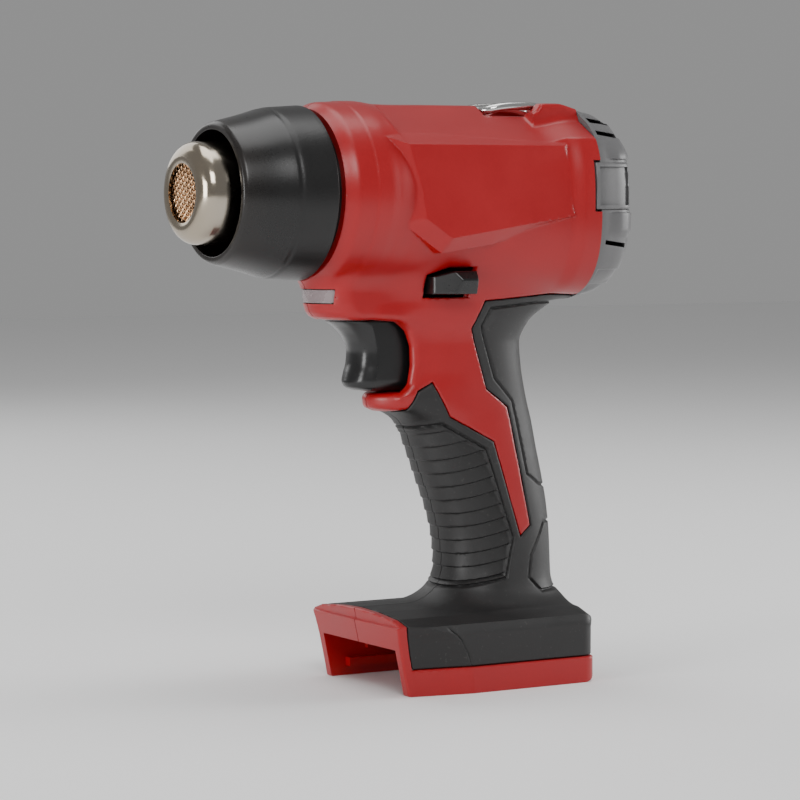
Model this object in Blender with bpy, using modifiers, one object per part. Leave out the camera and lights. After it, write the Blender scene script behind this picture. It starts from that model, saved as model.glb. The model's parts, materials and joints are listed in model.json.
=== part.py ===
"""Cordless heat gun: a two-shell housing with rubber grips, a hot-air path, and its switchgear.

Metres, +Z up. The nozzle points along -X, y = 0 is the mould parting plane, and z = 0 is the
underside of the foot, which a battery pack slides into from the front.
"""

import math

import bmesh
import bpy
from mathutils import Matrix, Vector

# Driving dimensions
AXIS_Z = 0.1685
NOZZLE_RADIUS = 0.017
HOUSING_FRONT_X = -0.036
HOUSING_REAR_X = 0.0628
CAP_REAR_X = 0.082
WALL = 0.0025
GRIP_THICKNESS = 0.002
GAP = 0.0003
FOOT_HALF_WIDTH = 0.0324
FOOT_REAR_X = 0.0617
CHANNEL_HALF_WIDTH = 0.0244
CHANNEL_TOP_Z = 0.0156
TRIGGER_HALF_WIDTH = 0.0095
TRIGGER_AXIS_Z = 0.1130
SHUTTLE_HALF_LENGTH = 0.0275
SHUTTLE_SIDE = ((0.0026, 0.1345), (0.0168, 0.1345), (0.0168, 0.1425), (0.0026, 0.1425))
SCREW_RADIUS = 0.0013
SCREW_HEAD_RADIUS = 0.0026
SCREW_HEAD_Y = 0.0085
FAN_RADIUS = 0.0225
SHAFT_RADIUS = 0.0016
MOTOR_RADIUS = 0.0160
HOOK_PIVOT = (0.0590, 0.1968)
HOOK_WIRE_RADIUS = 0.0015

# Barrel cross-sections: x, centre z, half width, half height, squareness (2 is an ellipse)
BARREL_STATIONS = (
    (HOUSING_FRONT_X, AXIS_Z, 0.0285, 0.0285, 2.0),
    (-0.031, AXIS_Z, 0.0307, 0.0307, 2.0),
    (-0.019, AXIS_Z, 0.0311, 0.0311, 2.0),
    (-0.011, 0.1681, 0.0308, 0.0306, 2.1),
    (0.010, 0.1673, 0.0318, 0.0314, 2.2),
    (0.035, 0.1660, 0.0326, 0.0327, 2.5),
    (HOUSING_REAR_X, 0.1650, 0.0330, 0.0335, 2.8),
)

# The rear cap carries the last barrel section on and domes it: x, half width, half height
CAP_STATIONS = (
    (HOUSING_REAR_X + GAP, 0.0330, 0.0335),
    (0.0720, 0.0318, 0.0324),
    (0.0770, 0.0290, 0.0296),
    (0.0805, 0.0240, 0.0246),
    (CAP_REAR_X, 0.0180, 0.0186),
)
CAP_AXIS_Z = 0.1650
CAP_SQUARENESS = 2.8

# Handle cross-sections from the barrel down to the foot: z, front x, rear x, half width
HANDLE_STATIONS = (
    (0.146, -0.0120, 0.0600, 0.0190),
    (0.134, -0.0100, 0.0595, 0.0185),
    (0.130, -0.0085, 0.0575, 0.0175),
    (0.124, -0.0030, 0.0510, 0.0162),
    (0.117, 0.0005, 0.0470, 0.0155),
    (0.108, 0.0005, 0.0478, 0.0155),
    (0.101, -0.0030, 0.0493, 0.0155),
    (0.096, -0.0040, 0.0507, 0.0155),
    (0.090, 0.0025, 0.0520, 0.0157),
    (0.080, 0.0060, 0.0540, 0.0160),
    (0.070, 0.0100, 0.0562, 0.0165),
    (0.060, 0.0140, 0.0580, 0.0165),
    (0.050, 0.0168, 0.0590, 0.0165),
    (0.040, 0.0178, 0.0593, 0.0168),
    (0.033, 0.0165, 0.0597, 0.0180),
    (0.027, 0.0130, 0.0603, 0.0210),
    (0.022, 0.0110, 0.0600, 0.0220),
)
HANDLE_SQUARENESS = 2.5

# Side view (x, z) of what the rubber covers: front grip, red spear, rear grip, foot
GRIP_OUTLINE = (
    (-0.0140, 0.0925),
    (-0.0020, 0.0955),
    (0.0010, 0.1015),
    (0.0065, 0.1045),
    (0.0130, 0.0925),
    (0.0300, 0.0835),
    (0.0405, 0.0505),
    (0.0445, 0.0540),
    (0.0360, 0.0950),
    (0.0270, 0.1015),
    (0.0205, 0.1225),
    (0.0250, 0.1320),
    (0.0530, 0.1340),
    (0.0720, 0.1330),
    (0.0720, 0.0090),
    (-0.0106, 0.0090),
    (-0.0133, 0.0225),
    (-0.0140, 0.0290),
)

# Right half of the foot's front view (y, z), from the floor to the crown of the deck
FOOT_OUTLINE = (
    (FOOT_HALF_WIDTH, 0.0),
    (FOOT_HALF_WIDTH, 0.0205),
    (0.0308, 0.0238),
    (0.0240, 0.0258),
    (0.0120, 0.0270),
    (0.0, 0.0275),
)

# Side view (x, z) of the lamp's lens in the chin
LENS_SIDE = ((-0.0345, 0.1362), (-0.0338, 0.1318), (-0.0308, 0.1318), (-0.0308, 0.1362))

# Housing screws: x, z, and how far their bosses reach to each side
HOUSING_SCREWS = (
    (-0.0225, 0.1340, 0.0115),
    (-0.0145, 0.1925, 0.0120),
    (0.0520, 0.1895, 0.0215),
    (0.0520, 0.1410, 0.0215),
    (0.0125, 0.0960, 0.0105),
    (0.0265, 0.0620, 0.0120),
    (0.0500, 0.0400, 0.0100),
    (0.0030, 0.0190, 0.0200),
)


def new_collection(name):
    made = bpy.data.collections.new(name)
    bpy.context.scene.collection.children.link(made)
    return made


def material(name, colour, roughness, metallic=0.0):
    made = bpy.data.materials.new(name)
    made.use_nodes = True
    shader = made.node_tree.nodes["Principled BSDF"]
    shader.inputs["Base Color"].default_value = (*colour, 1.0)
    shader.inputs["Roughness"].default_value = roughness
    shader.inputs["Metallic"].default_value = metallic
    made.diffuse_color = (*colour, 1.0)
    return made


def helper(name, data):
    """An object among the cutters, left out of renders."""
    obj = bpy.data.objects.new(name, data)
    cutters.objects.link(obj)
    obj.hide_render = True
    obj.display_type = "WIRE"
    return obj


def part(obj, name, finish):
    """Turns a helper into a named sub-part with its material."""
    cutters.objects.unlink(obj)
    parts.objects.link(obj)
    obj.name = name
    obj.data.name = name
    obj.hide_render = False
    obj.display_type = "TEXTURED"
    obj.data.materials.append(finish)
    return obj


def from_bmesh(name, bm):
    bmesh.ops.recalc_face_normals(bm, faces=bm.faces)
    mesh = bpy.data.meshes.new(name)
    bm.to_mesh(mesh)
    bm.free()
    return helper(name, mesh)


def combine(target, other, operation):
    """Adds a Boolean of target with other: UNION, DIFFERENCE or INTERSECT."""
    modifier = target.modifiers.new(operation.title(), "BOOLEAN")
    modifier.operation = operation
    modifier.object = other
    return target


def baked(obj):
    """The object with its modifiers applied, or a curve as a mesh, at the origin."""
    bpy.context.view_layer.update()
    graph = bpy.context.evaluated_depsgraph_get()
    mesh = bpy.data.meshes.new_from_object(obj.evaluated_get(graph))
    mesh.transform(obj.matrix_world)
    bm = bmesh.new()
    bm.from_mesh(mesh)
    bmesh.ops.remove_doubles(bm, verts=bm.verts, dist=1e-6)
    bm.to_mesh(mesh)
    bm.free()
    name = obj.name
    bpy.data.objects.remove(obj)
    return helper(name, mesh)


def block(name, low, high):
    """A box between two corners."""
    low, high = Vector(low), Vector(high)
    bm = bmesh.new()
    matrix = Matrix.Translation((low + high) / 2) @ Matrix.Diagonal((*(high - low), 1.0))
    bmesh.ops.create_cube(bm, size=1.0, matrix=matrix)
    return from_bmesh(name, bm)


def rod(name, start, end, radius, sides=20):
    """A round bar between two points."""
    start, end = Vector(start), Vector(end)
    turn = (end - start).to_track_quat("Z", "Y").to_matrix().to_4x4()
    bm = bmesh.new()
    bmesh.ops.create_cone(
        bm,
        cap_ends=True,
        segments=sides,
        radius1=radius,
        radius2=radius,
        depth=(end - start).length,
        matrix=Matrix.Translation((start + end) / 2) @ turn,
    )
    return from_bmesh(name, bm)


def loft(name, rings):
    """A closed solid through rings of equally many points, with flat ends."""
    bm = bmesh.new()
    loops = [[bm.verts.new(point) for point in ring] for ring in rings]
    count = len(loops[0])
    for first, second in zip(loops, loops[1:]):
        for i in range(count):
            j = (i + 1) % count
            bm.faces.new((first[i], first[j], second[j], second[i]))
    bm.faces.new(loops[0])
    bm.faces.new(loops[-1])
    bmesh.ops.triangulate(bm, faces=bm.faces)  # a Boolean needs flat faces, and a twisted side isn't
    return from_bmesh(name, bm)


def rounded_ring(half_a, half_b, squareness, count):
    """Points of a superellipse, |a|^n + |b|^n = 1, by angle."""
    for i in range(count):
        angle = 2 * math.pi * (i + 0.5) / count
        c, s = math.cos(angle), math.sin(angle)
        yield (
            half_a * math.copysign(abs(c) ** (2 / squareness), c),
            half_b * math.copysign(abs(s) ** (2 / squareness), s),
        )


def barrel_shape(name, inset=0.0, beyond=0.0, count=32):
    """The barrel drawn in by inset all round and carried past its ends by beyond."""
    stations = [list(station) for station in BARREL_STATIONS]
    stations[0][0] -= beyond
    stations[-1][0] += beyond
    rings = [
        [(x, y, centre + z) for y, z in rounded_ring(width - inset, height - inset, square, count)]
        for x, centre, width, height, square in stations
    ]
    return loft(name, rings)


def handle_shape(name, inset=0.0, count=24):
    """The handle drawn in by inset all round."""
    rings = []
    for z, front, rear, width in HANDLE_STATIONS:
        middle, half = (front + rear) / 2, (rear - front) / 2
        ring = rounded_ring(half - inset, width - inset, HANDLE_SQUARENESS, count)
        rings.append([(middle + x, y, z) for x, y in ring])
    return loft(name, rings)


def grown(points, by):
    """A closed outline moved outwards by a distance, mitred at its corners."""
    area = sum(a[0] * b[1] - b[0] * a[1] for a, b in zip(points, points[1:] + points[:1]))
    side = by if area > 0 else -by
    moved = []
    for before, here, after in zip(points[-1:] + points[:-1], points, points[1:] + points[:1]):
        first = (Vector(here) - Vector(before)).normalized()
        second = (Vector(after) - Vector(here)).normalized()
        normal = Vector((first.y + second.y, -first.x - second.x)).normalized()
        moved.append(tuple(Vector(here) + normal * side / max(0.5, normal.dot((first.y, -first.x)))))
    return moved


def flat_solid(name, points, low, high, across):
    """An outline as a slab: across Y it is read as (x, z), across X as (y, z)."""
    curve = bpy.data.curves.new(name, "CURVE")
    curve.dimensions = "2D"
    curve.fill_mode = "BOTH"
    curve.extrude = (high - low) / 2
    spline = curve.splines.new("POLY")
    spline.points.add(len(points) - 1)
    for point, (u, v) in zip(spline.points, points):
        point.co = (u, v, 0.0, 1.0)
    spline.use_cyclic_u = True
    obj = helper(name, curve)
    middle = (low + high) / 2
    if across == "Y":
        obj.matrix_world = Matrix(((1, 0, 0, 0), (0, 0, -1, middle), (0, 1, 0, 0), (0, 0, 0, 1)))
    else:
        obj.matrix_world = Matrix(((0, 0, 1, middle), (1, 0, 0, 0), (0, 1, 0, 0), (0, 0, 0, 1)))
    return baked(obj)


def turned(name, profile, closed=True, steps=36, angle=2 * math.pi):
    """A profile (x, radius) swept about the barrel's axis; its outer side runs from rear to front."""
    mesh = bpy.data.meshes.new(name)
    edges = [(i, i + 1) for i in range(len(profile) - 1)]
    if closed:
        edges.append((len(profile) - 1, 0))
    mesh.from_pydata([(radius, 0.0, x) for x, radius in profile], edges, [])
    obj = helper(name, mesh)
    obj.rotation_euler = (0.0, math.pi / 2, 0.0)
    obj.location = (0.0, 0.0, AXIS_Z)
    screw = obj.modifiers.new("Screw", "SCREW")
    screw.angle = angle
    screw.steps = steps
    screw.render_steps = steps
    screw.use_merge_vertices = True
    screw.merge_threshold = 0.00001
    return obj


def tube(name, points, radius, resolution=2):
    """A wire along points, with closed ends."""
    curve = bpy.data.curves.new(name, "CURVE")
    curve.dimensions = "3D"
    curve.bevel_depth = radius
    curve.bevel_resolution = resolution
    curve.use_fill_caps = True
    spline = curve.splines.new("POLY")
    spline.points.add(len(points) - 1)
    for point, place in zip(spline.points, points):
        point.co = (*place, 1.0)
    return helper(name, curve)


def smooth_path(points, steps):
    """Points of a Catmull-Rom curve through the given ones."""
    ends = [points[0], *points, points[-1]]
    path = []
    for a, b, c, d in zip(ends, ends[1:], ends[2:], ends[3:]):
        a, b, c, d = Vector(a), Vector(b), Vector(c), Vector(d)
        for i in range(steps):
            t = i / steps
            bend = (2 * a - 5 * b + 4 * c - d) * t * t + (3 * b - a - 3 * c + d) * t**3
            path.append(b + 0.5 * ((c - a) * t + bend))
    return [*path, Vector(points[-1])]


def rounded(obj, width, segments=2):
    """Rounds every edge sharper than 35 degrees."""
    bevel = obj.modifiers.new("Bevel", "BEVEL")
    bevel.width = width
    bevel.segments = segments
    bevel.limit_method = "ANGLE"
    bevel.angle_limit = math.radians(35)
    return obj


def joined(name, pieces):
    """Several overlapping helpers as one mesh."""
    first, *others = pieces
    for other in others:
        combine(first, other, "UNION")
    whole = baked(first)
    whole.name = name
    for other in others:
        bpy.data.objects.remove(other)
    return whole


def merged(name, pieces):
    """Separate helpers that don't touch, kept side by side in one cutter."""
    bm = bmesh.new()
    for piece in pieces:
        bm.from_mesh(piece.data)
        bpy.data.objects.remove(piece)
    return from_bmesh(name, bm)


def carved(target, *cuts):
    """The target with helpers taken out of it, baked."""
    for cut in cuts:
        combine(target, cut, "DIFFERENCE")
    return baked(target)


def foot_block(name, inset, front_x):
    """The foot as a slab along X under its deck outline."""
    half = list(FOOT_OUTLINE)
    outline = half + [(-y, z) for y, z in reversed(half[:-1])]
    if inset:
        outline = [(y, max(z, -inset)) for y, z in grown(outline, -inset)]
    return flat_solid(name, outline, front_x, FOOT_REAR_X - inset, "X")


def skin_room(name, outline, inset, barrel_inset):
    """The room that the rubber takes: its side outline less the core beneath it."""
    room = flat_solid(name, outline, -0.05, 0.05, "Y")
    core = (
        handle_shape("core_handle", inset),
        foot_block("core_foot", inset, -0.03),
        block("core_channel", (-0.03, -0.030, -0.01), (0.058, 0.030, 0.012)),
        barrel_shape("core_barrel", barrel_inset),
    )
    room = carved(room, *core)
    for piece in core:
        bpy.data.objects.remove(piece)
    return room


def outer_form():
    """The gun's outside: barrel, handle, chin under the barrel, finger guard and foot."""
    barrel = barrel_shape("outer_barrel")
    handle = handle_shape("outer_handle")
    chin_side = (
        (-0.0348, 0.1420),
        (-0.0342, 0.1360),
        (-0.0332, 0.1300),
        (-0.0312, 0.1268),
        (-0.0280, 0.1260),
        (0.0120, 0.1260),
        (0.0120, 0.1500),
        (-0.0345, 0.1500),
    )
    chin = rounded(flat_solid("chin", chin_side, -0.0125, 0.0125, "Y"), 0.0025)
    guard_side = (
        (-0.0118, 0.1004),
        (-0.0122, 0.0978),
        (-0.0100, 0.0952),
        (-0.0050, 0.0942),
        (0.0080, 0.0942),
        (0.0080, 0.1008),
    )
    guard = rounded(flat_solid("guard", guard_side, -0.0112, 0.0112, "Y"), 0.0012)
    slant = ((-0.05, -0.01), (-0.0095, -0.01), (-0.0165, 0.0225), (-0.0160, 0.04), (-0.05, 0.04))
    slant = flat_solid("slant", slant, -0.05, 0.05, "Y")
    foot = carved(foot_block("outer_foot", 0.0, -0.030), slant)
    bpy.data.objects.remove(slant)
    return joined("outer_form", [barrel, handle, chin, guard, foot])


def inner_room():
    """Everything hollow inside the shells, open at the mouth, the rear and the foot."""
    return joined(
        "inner_room",
        [
            barrel_shape("room_barrel", WALL, 0.002),
            handle_shape("room_handle", GRIP_THICKNESS + 0.0022),
            block("room_chin", (-0.0312, -0.0100, 0.1282), (0.0, 0.0100, 0.1480)),
            block("room_shaft", (0.0200, -0.0140, 0.0185), (0.0520, 0.0140, 0.0260)),
            block("room_deck", (-0.0080, -0.0270, 0.0185), (0.0560, 0.0270, 0.0212)),
            block("room_window", (0.0265, -0.0155, 0.0130), (0.0515, 0.0155, 0.0190)),
        ],
    )


def foot_channel():
    """The battery slideway cut from below and the front, between two rails."""
    channel = block(
        "channel", (-0.03, -CHANNEL_HALF_WIDTH, -0.01), (0.0530, CHANNEL_HALF_WIDTH, CHANNEL_TOP_Z)
    )
    rails = [
        block(
            "rail",
            (-0.0060, min(side * 0.0212, side * 0.0300), 0.0035),
            (0.0600, max(side * 0.0212, side * 0.0300), 0.0065),
        )
        for side in (-1, 1)
    ]
    channel = carved(channel, *rails)
    for rail in rails:
        bpy.data.objects.remove(rail)
    return channel


def mouth():
    """The opening that the trigger slides in."""
    return block("mouth", (-0.0200, -0.0099, 0.1010), (0.0120, 0.0099, 0.1258))


def openings():
    """What is cut through the shells: trigger mouth, shuttle slot, lamp window, hook pocket."""
    shuttle_side = grown(list(SHUTTLE_SIDE), GAP)
    lens_side = grown(list(LENS_SIDE), GAP)
    pivot_x, pivot_z = HOOK_PIVOT
    return [
        mouth(),
        flat_solid("shuttle_slot", shuttle_side, -0.05, 0.05, "Y"),
        flat_solid("lamp_window", lens_side, -0.0106, 0.0106, "Y"),
        block("hook_pocket", (0.0285, -0.0118, 0.1950), (0.0608, 0.0118, 0.2100)),
        rod("hook_bores", (pivot_x, -0.0160, pivot_z), (pivot_x, 0.0160, pivot_z), 0.0018, 12),
    ]


def screw_cutters():
    """Deep counterbores for the heads on the +Y side, and pilot holes across the parting plane."""
    cutter = []
    for i, (x, z, _) in enumerate(HOUSING_SCREWS):
        seat = SCREW_HEAD_Y - 0.0025
        well = rod("well", (x, seat, z), (x, 0.05, z), SCREW_HEAD_RADIUS + GAP, 12)
        pilot = rod("pilot", (x, -0.0095, z), (x, seat + 0.001, z), SCREW_RADIUS + GAP, 8)
        cutter.append(joined(f"screw_hole_{i}", [well, pilot]))
    return merged("screw_holes", cutter)


def halves(body, names, finish, extra_right):
    """Splits a body at the parting plane into its -Y and +Y shells."""
    made = []
    for name, side in zip(names, (-1, 1)):
        low, high = sorted((side * GAP / 2, side * 0.1))
        half = block(name, (-0.2, low, -0.1), (0.2, high, 0.3))
        combine(half, body, "INTERSECT")
        if side > 0:
            combine(half, extra_right, "DIFFERENCE")
        made.append(part(baked(half), name, finish))
    return made


def make_shells():
    """The two red shells and the rubber moulded onto each."""
    outside = outer_form()
    outline = list(GRIP_OUTLINE)
    rubber_room = skin_room("rubber_room", grown(outline, GAP / 2), GRIP_THICKNESS, 0.0002)
    rubber = skin_room("rubber", grown(outline, -GAP / 2), GRIP_THICKNESS - GAP, -0.0002)
    holes = screw_cutters()

    shell = helper("shell", outside.data.copy())
    shell = carved(shell, rubber_room)
    bed = block("hook_bed", (0.0262, -0.0150, 0.1937), (0.0606, 0.0150, 0.1972))
    bosses = [
        rod(f"boss_{i}", (x, -reach, z), (x, reach, z), 0.0038, 10)
        for i, (x, z, reach) in enumerate(HOUSING_SCREWS)
    ]
    shell = carved(shell, inner_room(), foot_channel())
    shell = joined("shell", [shell, bed, merged("bosses", bosses)])
    shell = carved(shell, *openings())
    pilots = helper("pilots", holes.data.copy())
    halves(carved(shell, pilots), ("housing_left", "housing_right"), red, holes)

    rubber = carved(combine(rubber, outside, "INTERSECT"), mouth())
    halves(rubber, ("grip_left", "grip_right"), rubber_black, holes)


def ring(name, front, rear, inner, outer, steps=36):
    """A plain turned ring about the barrel's axis."""
    return turned(name, [(rear, outer), (front, outer), (front, inner), (rear, inner)], steps=steps)


def disc_with_slots(name, x, thickness, radius, slots, slot_height):
    """A thin round plate across the barrel, pierced by rows of slots."""
    plate = rod(name, (x, 0, AXIS_Z), (x + thickness, 0, AXIS_Z), radius, 32)
    pitch = 2 * radius / (slots + 1)
    cuts = []
    for i in range(slots):
        offset = (i + 1) * pitch - radius
        reach = math.sqrt(radius**2 - offset**2) - 1.3 * slot_height
        z = AXIS_Z + offset
        for side in (-1, 1):
            low, high = sorted((side * slot_height * 0.3, side * reach))
            cuts.append(block("slot", (x - 0.01, low, z - slot_height / 2), (x + 0.01, high, z + slot_height / 2)))
    cutter = merged("slots", cuts)
    plate = carved(plate, cutter)
    bpy.data.objects.remove(cutter)
    return plate


def make_front():
    """The heat shield, the steel outlet tube with its rolled lip, and the mesh in its mouth."""
    shield = [
        (-0.0389, 0.0293),
        (-0.0526, 0.0282),
        (-0.0580, 0.0265),
        (-0.0700, 0.0236),
        (-0.0709, 0.0227),
        (-0.0709, 0.0209),
        (-0.0580, 0.0243),
        (-0.0500, 0.0235),
        (-0.0300, 0.0235),
        (-0.0300, 0.0257),
        (-0.0425, 0.0257),
        (-0.0435, 0.0268),
        (-0.0389, 0.0274),
    ]
    part(turned("shield", shield, steps=32), "heat_shield", black_plastic)

    lip_x, lip_radius, sheet = -0.0765, 0.0055, 0.0009
    lip_centre = NOZZLE_RADIUS - lip_radius
    turns = [math.radians(90 + 27.5 * i) for i in range(5)]
    outer = [(-0.0100, 0.0195), (-0.0110, 0.0195), (-0.0112, NOZZLE_RADIUS)]
    outer += [(lip_x + lip_radius * math.cos(a), lip_centre + lip_radius * math.sin(a)) for a in turns]
    inner = [
        (lip_x + (lip_radius - sheet) * math.cos(a), lip_centre + (lip_radius - sheet) * math.sin(a))
        for a in reversed(turns)
    ]
    inner += [(-0.0100, NOZZLE_RADIUS - sheet)]
    part(turned("tube", outer + inner, steps=32), "nozzle", steel)

    screen = disc_with_slots("screen", -0.0772, 0.0006, 0.0156, 11, 0.0012)
    part(screen, "outlet_screen", copper)


def make_heater():
    """Crossed mica plates wound with resistance wire, in a mica sleeve on a ceramic flange."""
    front, rear, half = -0.0700, -0.0125, 0.0114
    plates = [
        block("plate", (front, -half, AXIS_Z - 0.0006), (rear, half, AXIS_Z + 0.0006)),
        block("plate", (front + 0.0005, -0.0006, AXIS_Z - half), (rear - 0.0005, 0.0006, AXIS_Z + half)),
    ]
    part(joined("former", plates), "heater_former", mica)

    turns, points_per_turn, radius = 7, 8, 0.0125
    count = turns * points_per_turn
    path = []
    for i in range(count + 1):
        angle = 2 * math.pi * i / points_per_turn
        x = front + 0.004 + (rear - front - 0.008) * i / count
        path.append((x, radius * math.cos(angle), AXIS_Z + radius * math.sin(angle)))
    part(tube("coil", path, 0.0005, 1), "heating_coil", nichrome)

    part(ring("sleeve", -0.0705, -0.0120, 0.0143, 0.0149), "mica_sleeve", mica)
    part(ring("flange", -0.0097, -0.0067, 0.0100, 0.0248), "heater_flange", ceramic)
    cutout = rod("cutout", (-0.0062, 0, AXIS_Z + 0.014), (0.0020, 0, AXIS_Z + 0.014), 0.0032, 16)
    part(cutout, "thermal_cutout", steel)


def make_fan():
    """The duct that narrows to the heater, and the axial impeller on the motor's shaft."""
    wall, wide, narrow = 0.0013, 0.0248, 0.0215
    duct = [(0.0405, wide), (0.0240, wide), (-0.0062, narrow), (-0.0062, narrow - wall)]
    duct += [(0.0240, wide - wall), (0.0405, wide - wall)]
    part(turned("duct", duct), "fan_duct", black_plastic)

    front, rear, hub, blades = 0.0265, 0.0385, 0.0085, 9
    pieces = [ring("hub", front, rear, SHAFT_RADIUS + GAP, hub, 24)]
    for i in range(blades):
        blade = block("blade", (-0.0058, -0.0006, hub - 0.0010), (0.0058, 0.0006, FAN_RADIUS))
        place = Matrix.Translation(((front + rear) / 2, 0, AXIS_Z))
        spin = Matrix.Rotation(2 * math.pi * i / blades, 4, "X")
        pitch = Matrix.Rotation(math.radians(38), 4, "Z")
        blade.data.transform(place @ spin @ pitch)
        pieces.append(blade)
    part(joined("impeller", pieces), "impeller", black_plastic)


def make_motor():
    """A two-pole direct-current motor: can, magnets, armature, commutator, bushes and end cover."""
    front, rear, shell = 0.0440, 0.0700, 0.0010
    can = [(rear, MOTOR_RADIUS), (front, MOTOR_RADIUS), (front, 0.0040), (front + shell, 0.0040)]
    can += [(front + shell, MOTOR_RADIUS - shell), (rear, MOTOR_RADIUS - shell)]
    part(turned("can", can), "motor_can", steel)
    cover = ring("cover", 0.0686, 0.0700, 0.0040, MOTOR_RADIUS - shell - GAP, 24)
    part(cover, "motor_end_cover", black_plastic)
    for name, x in (("bearing_front", 0.0430), ("bearing_rear", 0.0682)):
        part(ring(name, x, x + 0.0022, SHAFT_RADIUS + GAP, 0.0037, 20), name, brass)

    magnets = baked(ring("magnets", 0.0475, 0.0660, 0.0118, MOTOR_RADIUS - shell - GAP))
    for name, side in (("magnet_upper", 1), ("magnet_lower", -1)):
        low, high = sorted((AXIS_Z + side * 0.005, AXIS_Z + side * 0.03))
        keep = block(name, (0.04, -0.03, low), (0.07, 0.03, high))
        part(baked(combine(keep, magnets, "INTERSECT")), name, ferrite)

    bore = SHAFT_RADIUS + GAP
    part(rod("shaft", (0.0225, 0, AXIS_Z), (0.0712, 0, AXIS_Z), SHAFT_RADIUS, 16), "motor_shaft", steel)
    part(ring("armature", 0.0485, 0.0648, bore, 0.0110, 24), "armature", steel)
    part(ring("commutator", 0.0655, 0.0678, bore, 0.0042, 24), "commutator", brass)

    mount = [ring("mount", 0.0445, 0.0475, MOTOR_RADIUS + GAP, 0.0192, 24)]
    for i in range(4):
        arm = block("arm", (0.0445, -0.0022, 0.0180), (0.0475, 0.0022, 0.0288))
        arm.data.transform(
            Matrix.Translation((0, 0, AXIS_Z)) @ Matrix.Rotation(math.radians(45 + 90 * i), 4, "X")
        )
        mount.append(arm)
    part(joined("mount", mount), "motor_mount", black_plastic)


def cap_dome(name, inset):
    """The domed rear cap drawn in by inset, its open end carried forward when hollow."""
    rings = []
    for i, (x, width, height) in enumerate(CAP_STATIONS):
        x = x - 0.02 if inset and i == 0 else x
        x = min(x, CAP_REAR_X - inset)
        ring_points = rounded_ring(width - inset, height - inset, CAP_SQUARENESS, 32)
        rings.append([(x, y, CAP_AXIS_Z + z) for y, z in ring_points])
    return loft(name, rings)


def make_cap():
    """The grey air-intake cap with its spigot and slots, and the lint screen inside it."""
    spigot_front, spigot_inset, wall = 0.0610, 0.0031, 0.0020
    _, mouth_width, mouth_height = CAP_STATIONS[0]

    def straight(name, inset, front, rear):
        """A straight length of the cap's mouth section, drawn in by inset."""
        ring_points = list(rounded_ring(mouth_width - inset, mouth_height - inset, CAP_SQUARENESS, 32))
        return loft(name, [[(x, y, CAP_AXIS_Z + z) for y, z in ring_points] for x in (front, rear)])

    cap = joined("cap", [cap_dome("dome", 0.0), straight("spigot", spigot_inset, spigot_front, 0.0650)])
    hollow = cap_dome("hollow", wall)
    bore = straight("bore", spigot_inset + 0.0018, spigot_front - 0.002, 0.0660)
    slots = []
    for z, height in ((0.1880, 0.0016), (0.1925, 0.0016), (0.1505, 0.0024), (0.1430, 0.0016)):
        slots.append(block("side_slot", (0.0665, -0.05, z - height / 2), (0.0765, 0.05, z + height / 2)))
    for i in range(5):
        z = 0.1550 + 0.0050 * i
        for side in (-1, 1):
            low, high = sorted((side * 0.0015, side * 0.0150))
            slots.append(block("rear_slot", (0.0770, low, z - 0.0011), (0.09, high, z + 0.0011)))
    front_cut = block("front_cut", (0.0300, -0.05, 0.10), (spigot_front, 0.05, 0.22))
    cap = carved(cap, hollow_behind(hollow), bore, merged("cap_slots", slots), front_cut)
    part(cap, "rear_cap", grey_plastic)
    part(disc_with_slots("lint", 0.0745, 0.0006, 0.0225, 7, 0.0030), "intake_screen", steel)


def hollow_behind(hollow):
    """The cap's hollow kept behind its front edge, so that the spigot stays whole."""
    behind = block("behind", (0.0655, -0.05, 0.10), (0.10, 0.05, 0.22))
    return baked(combine(behind, hollow, "INTERSECT"))


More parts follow.
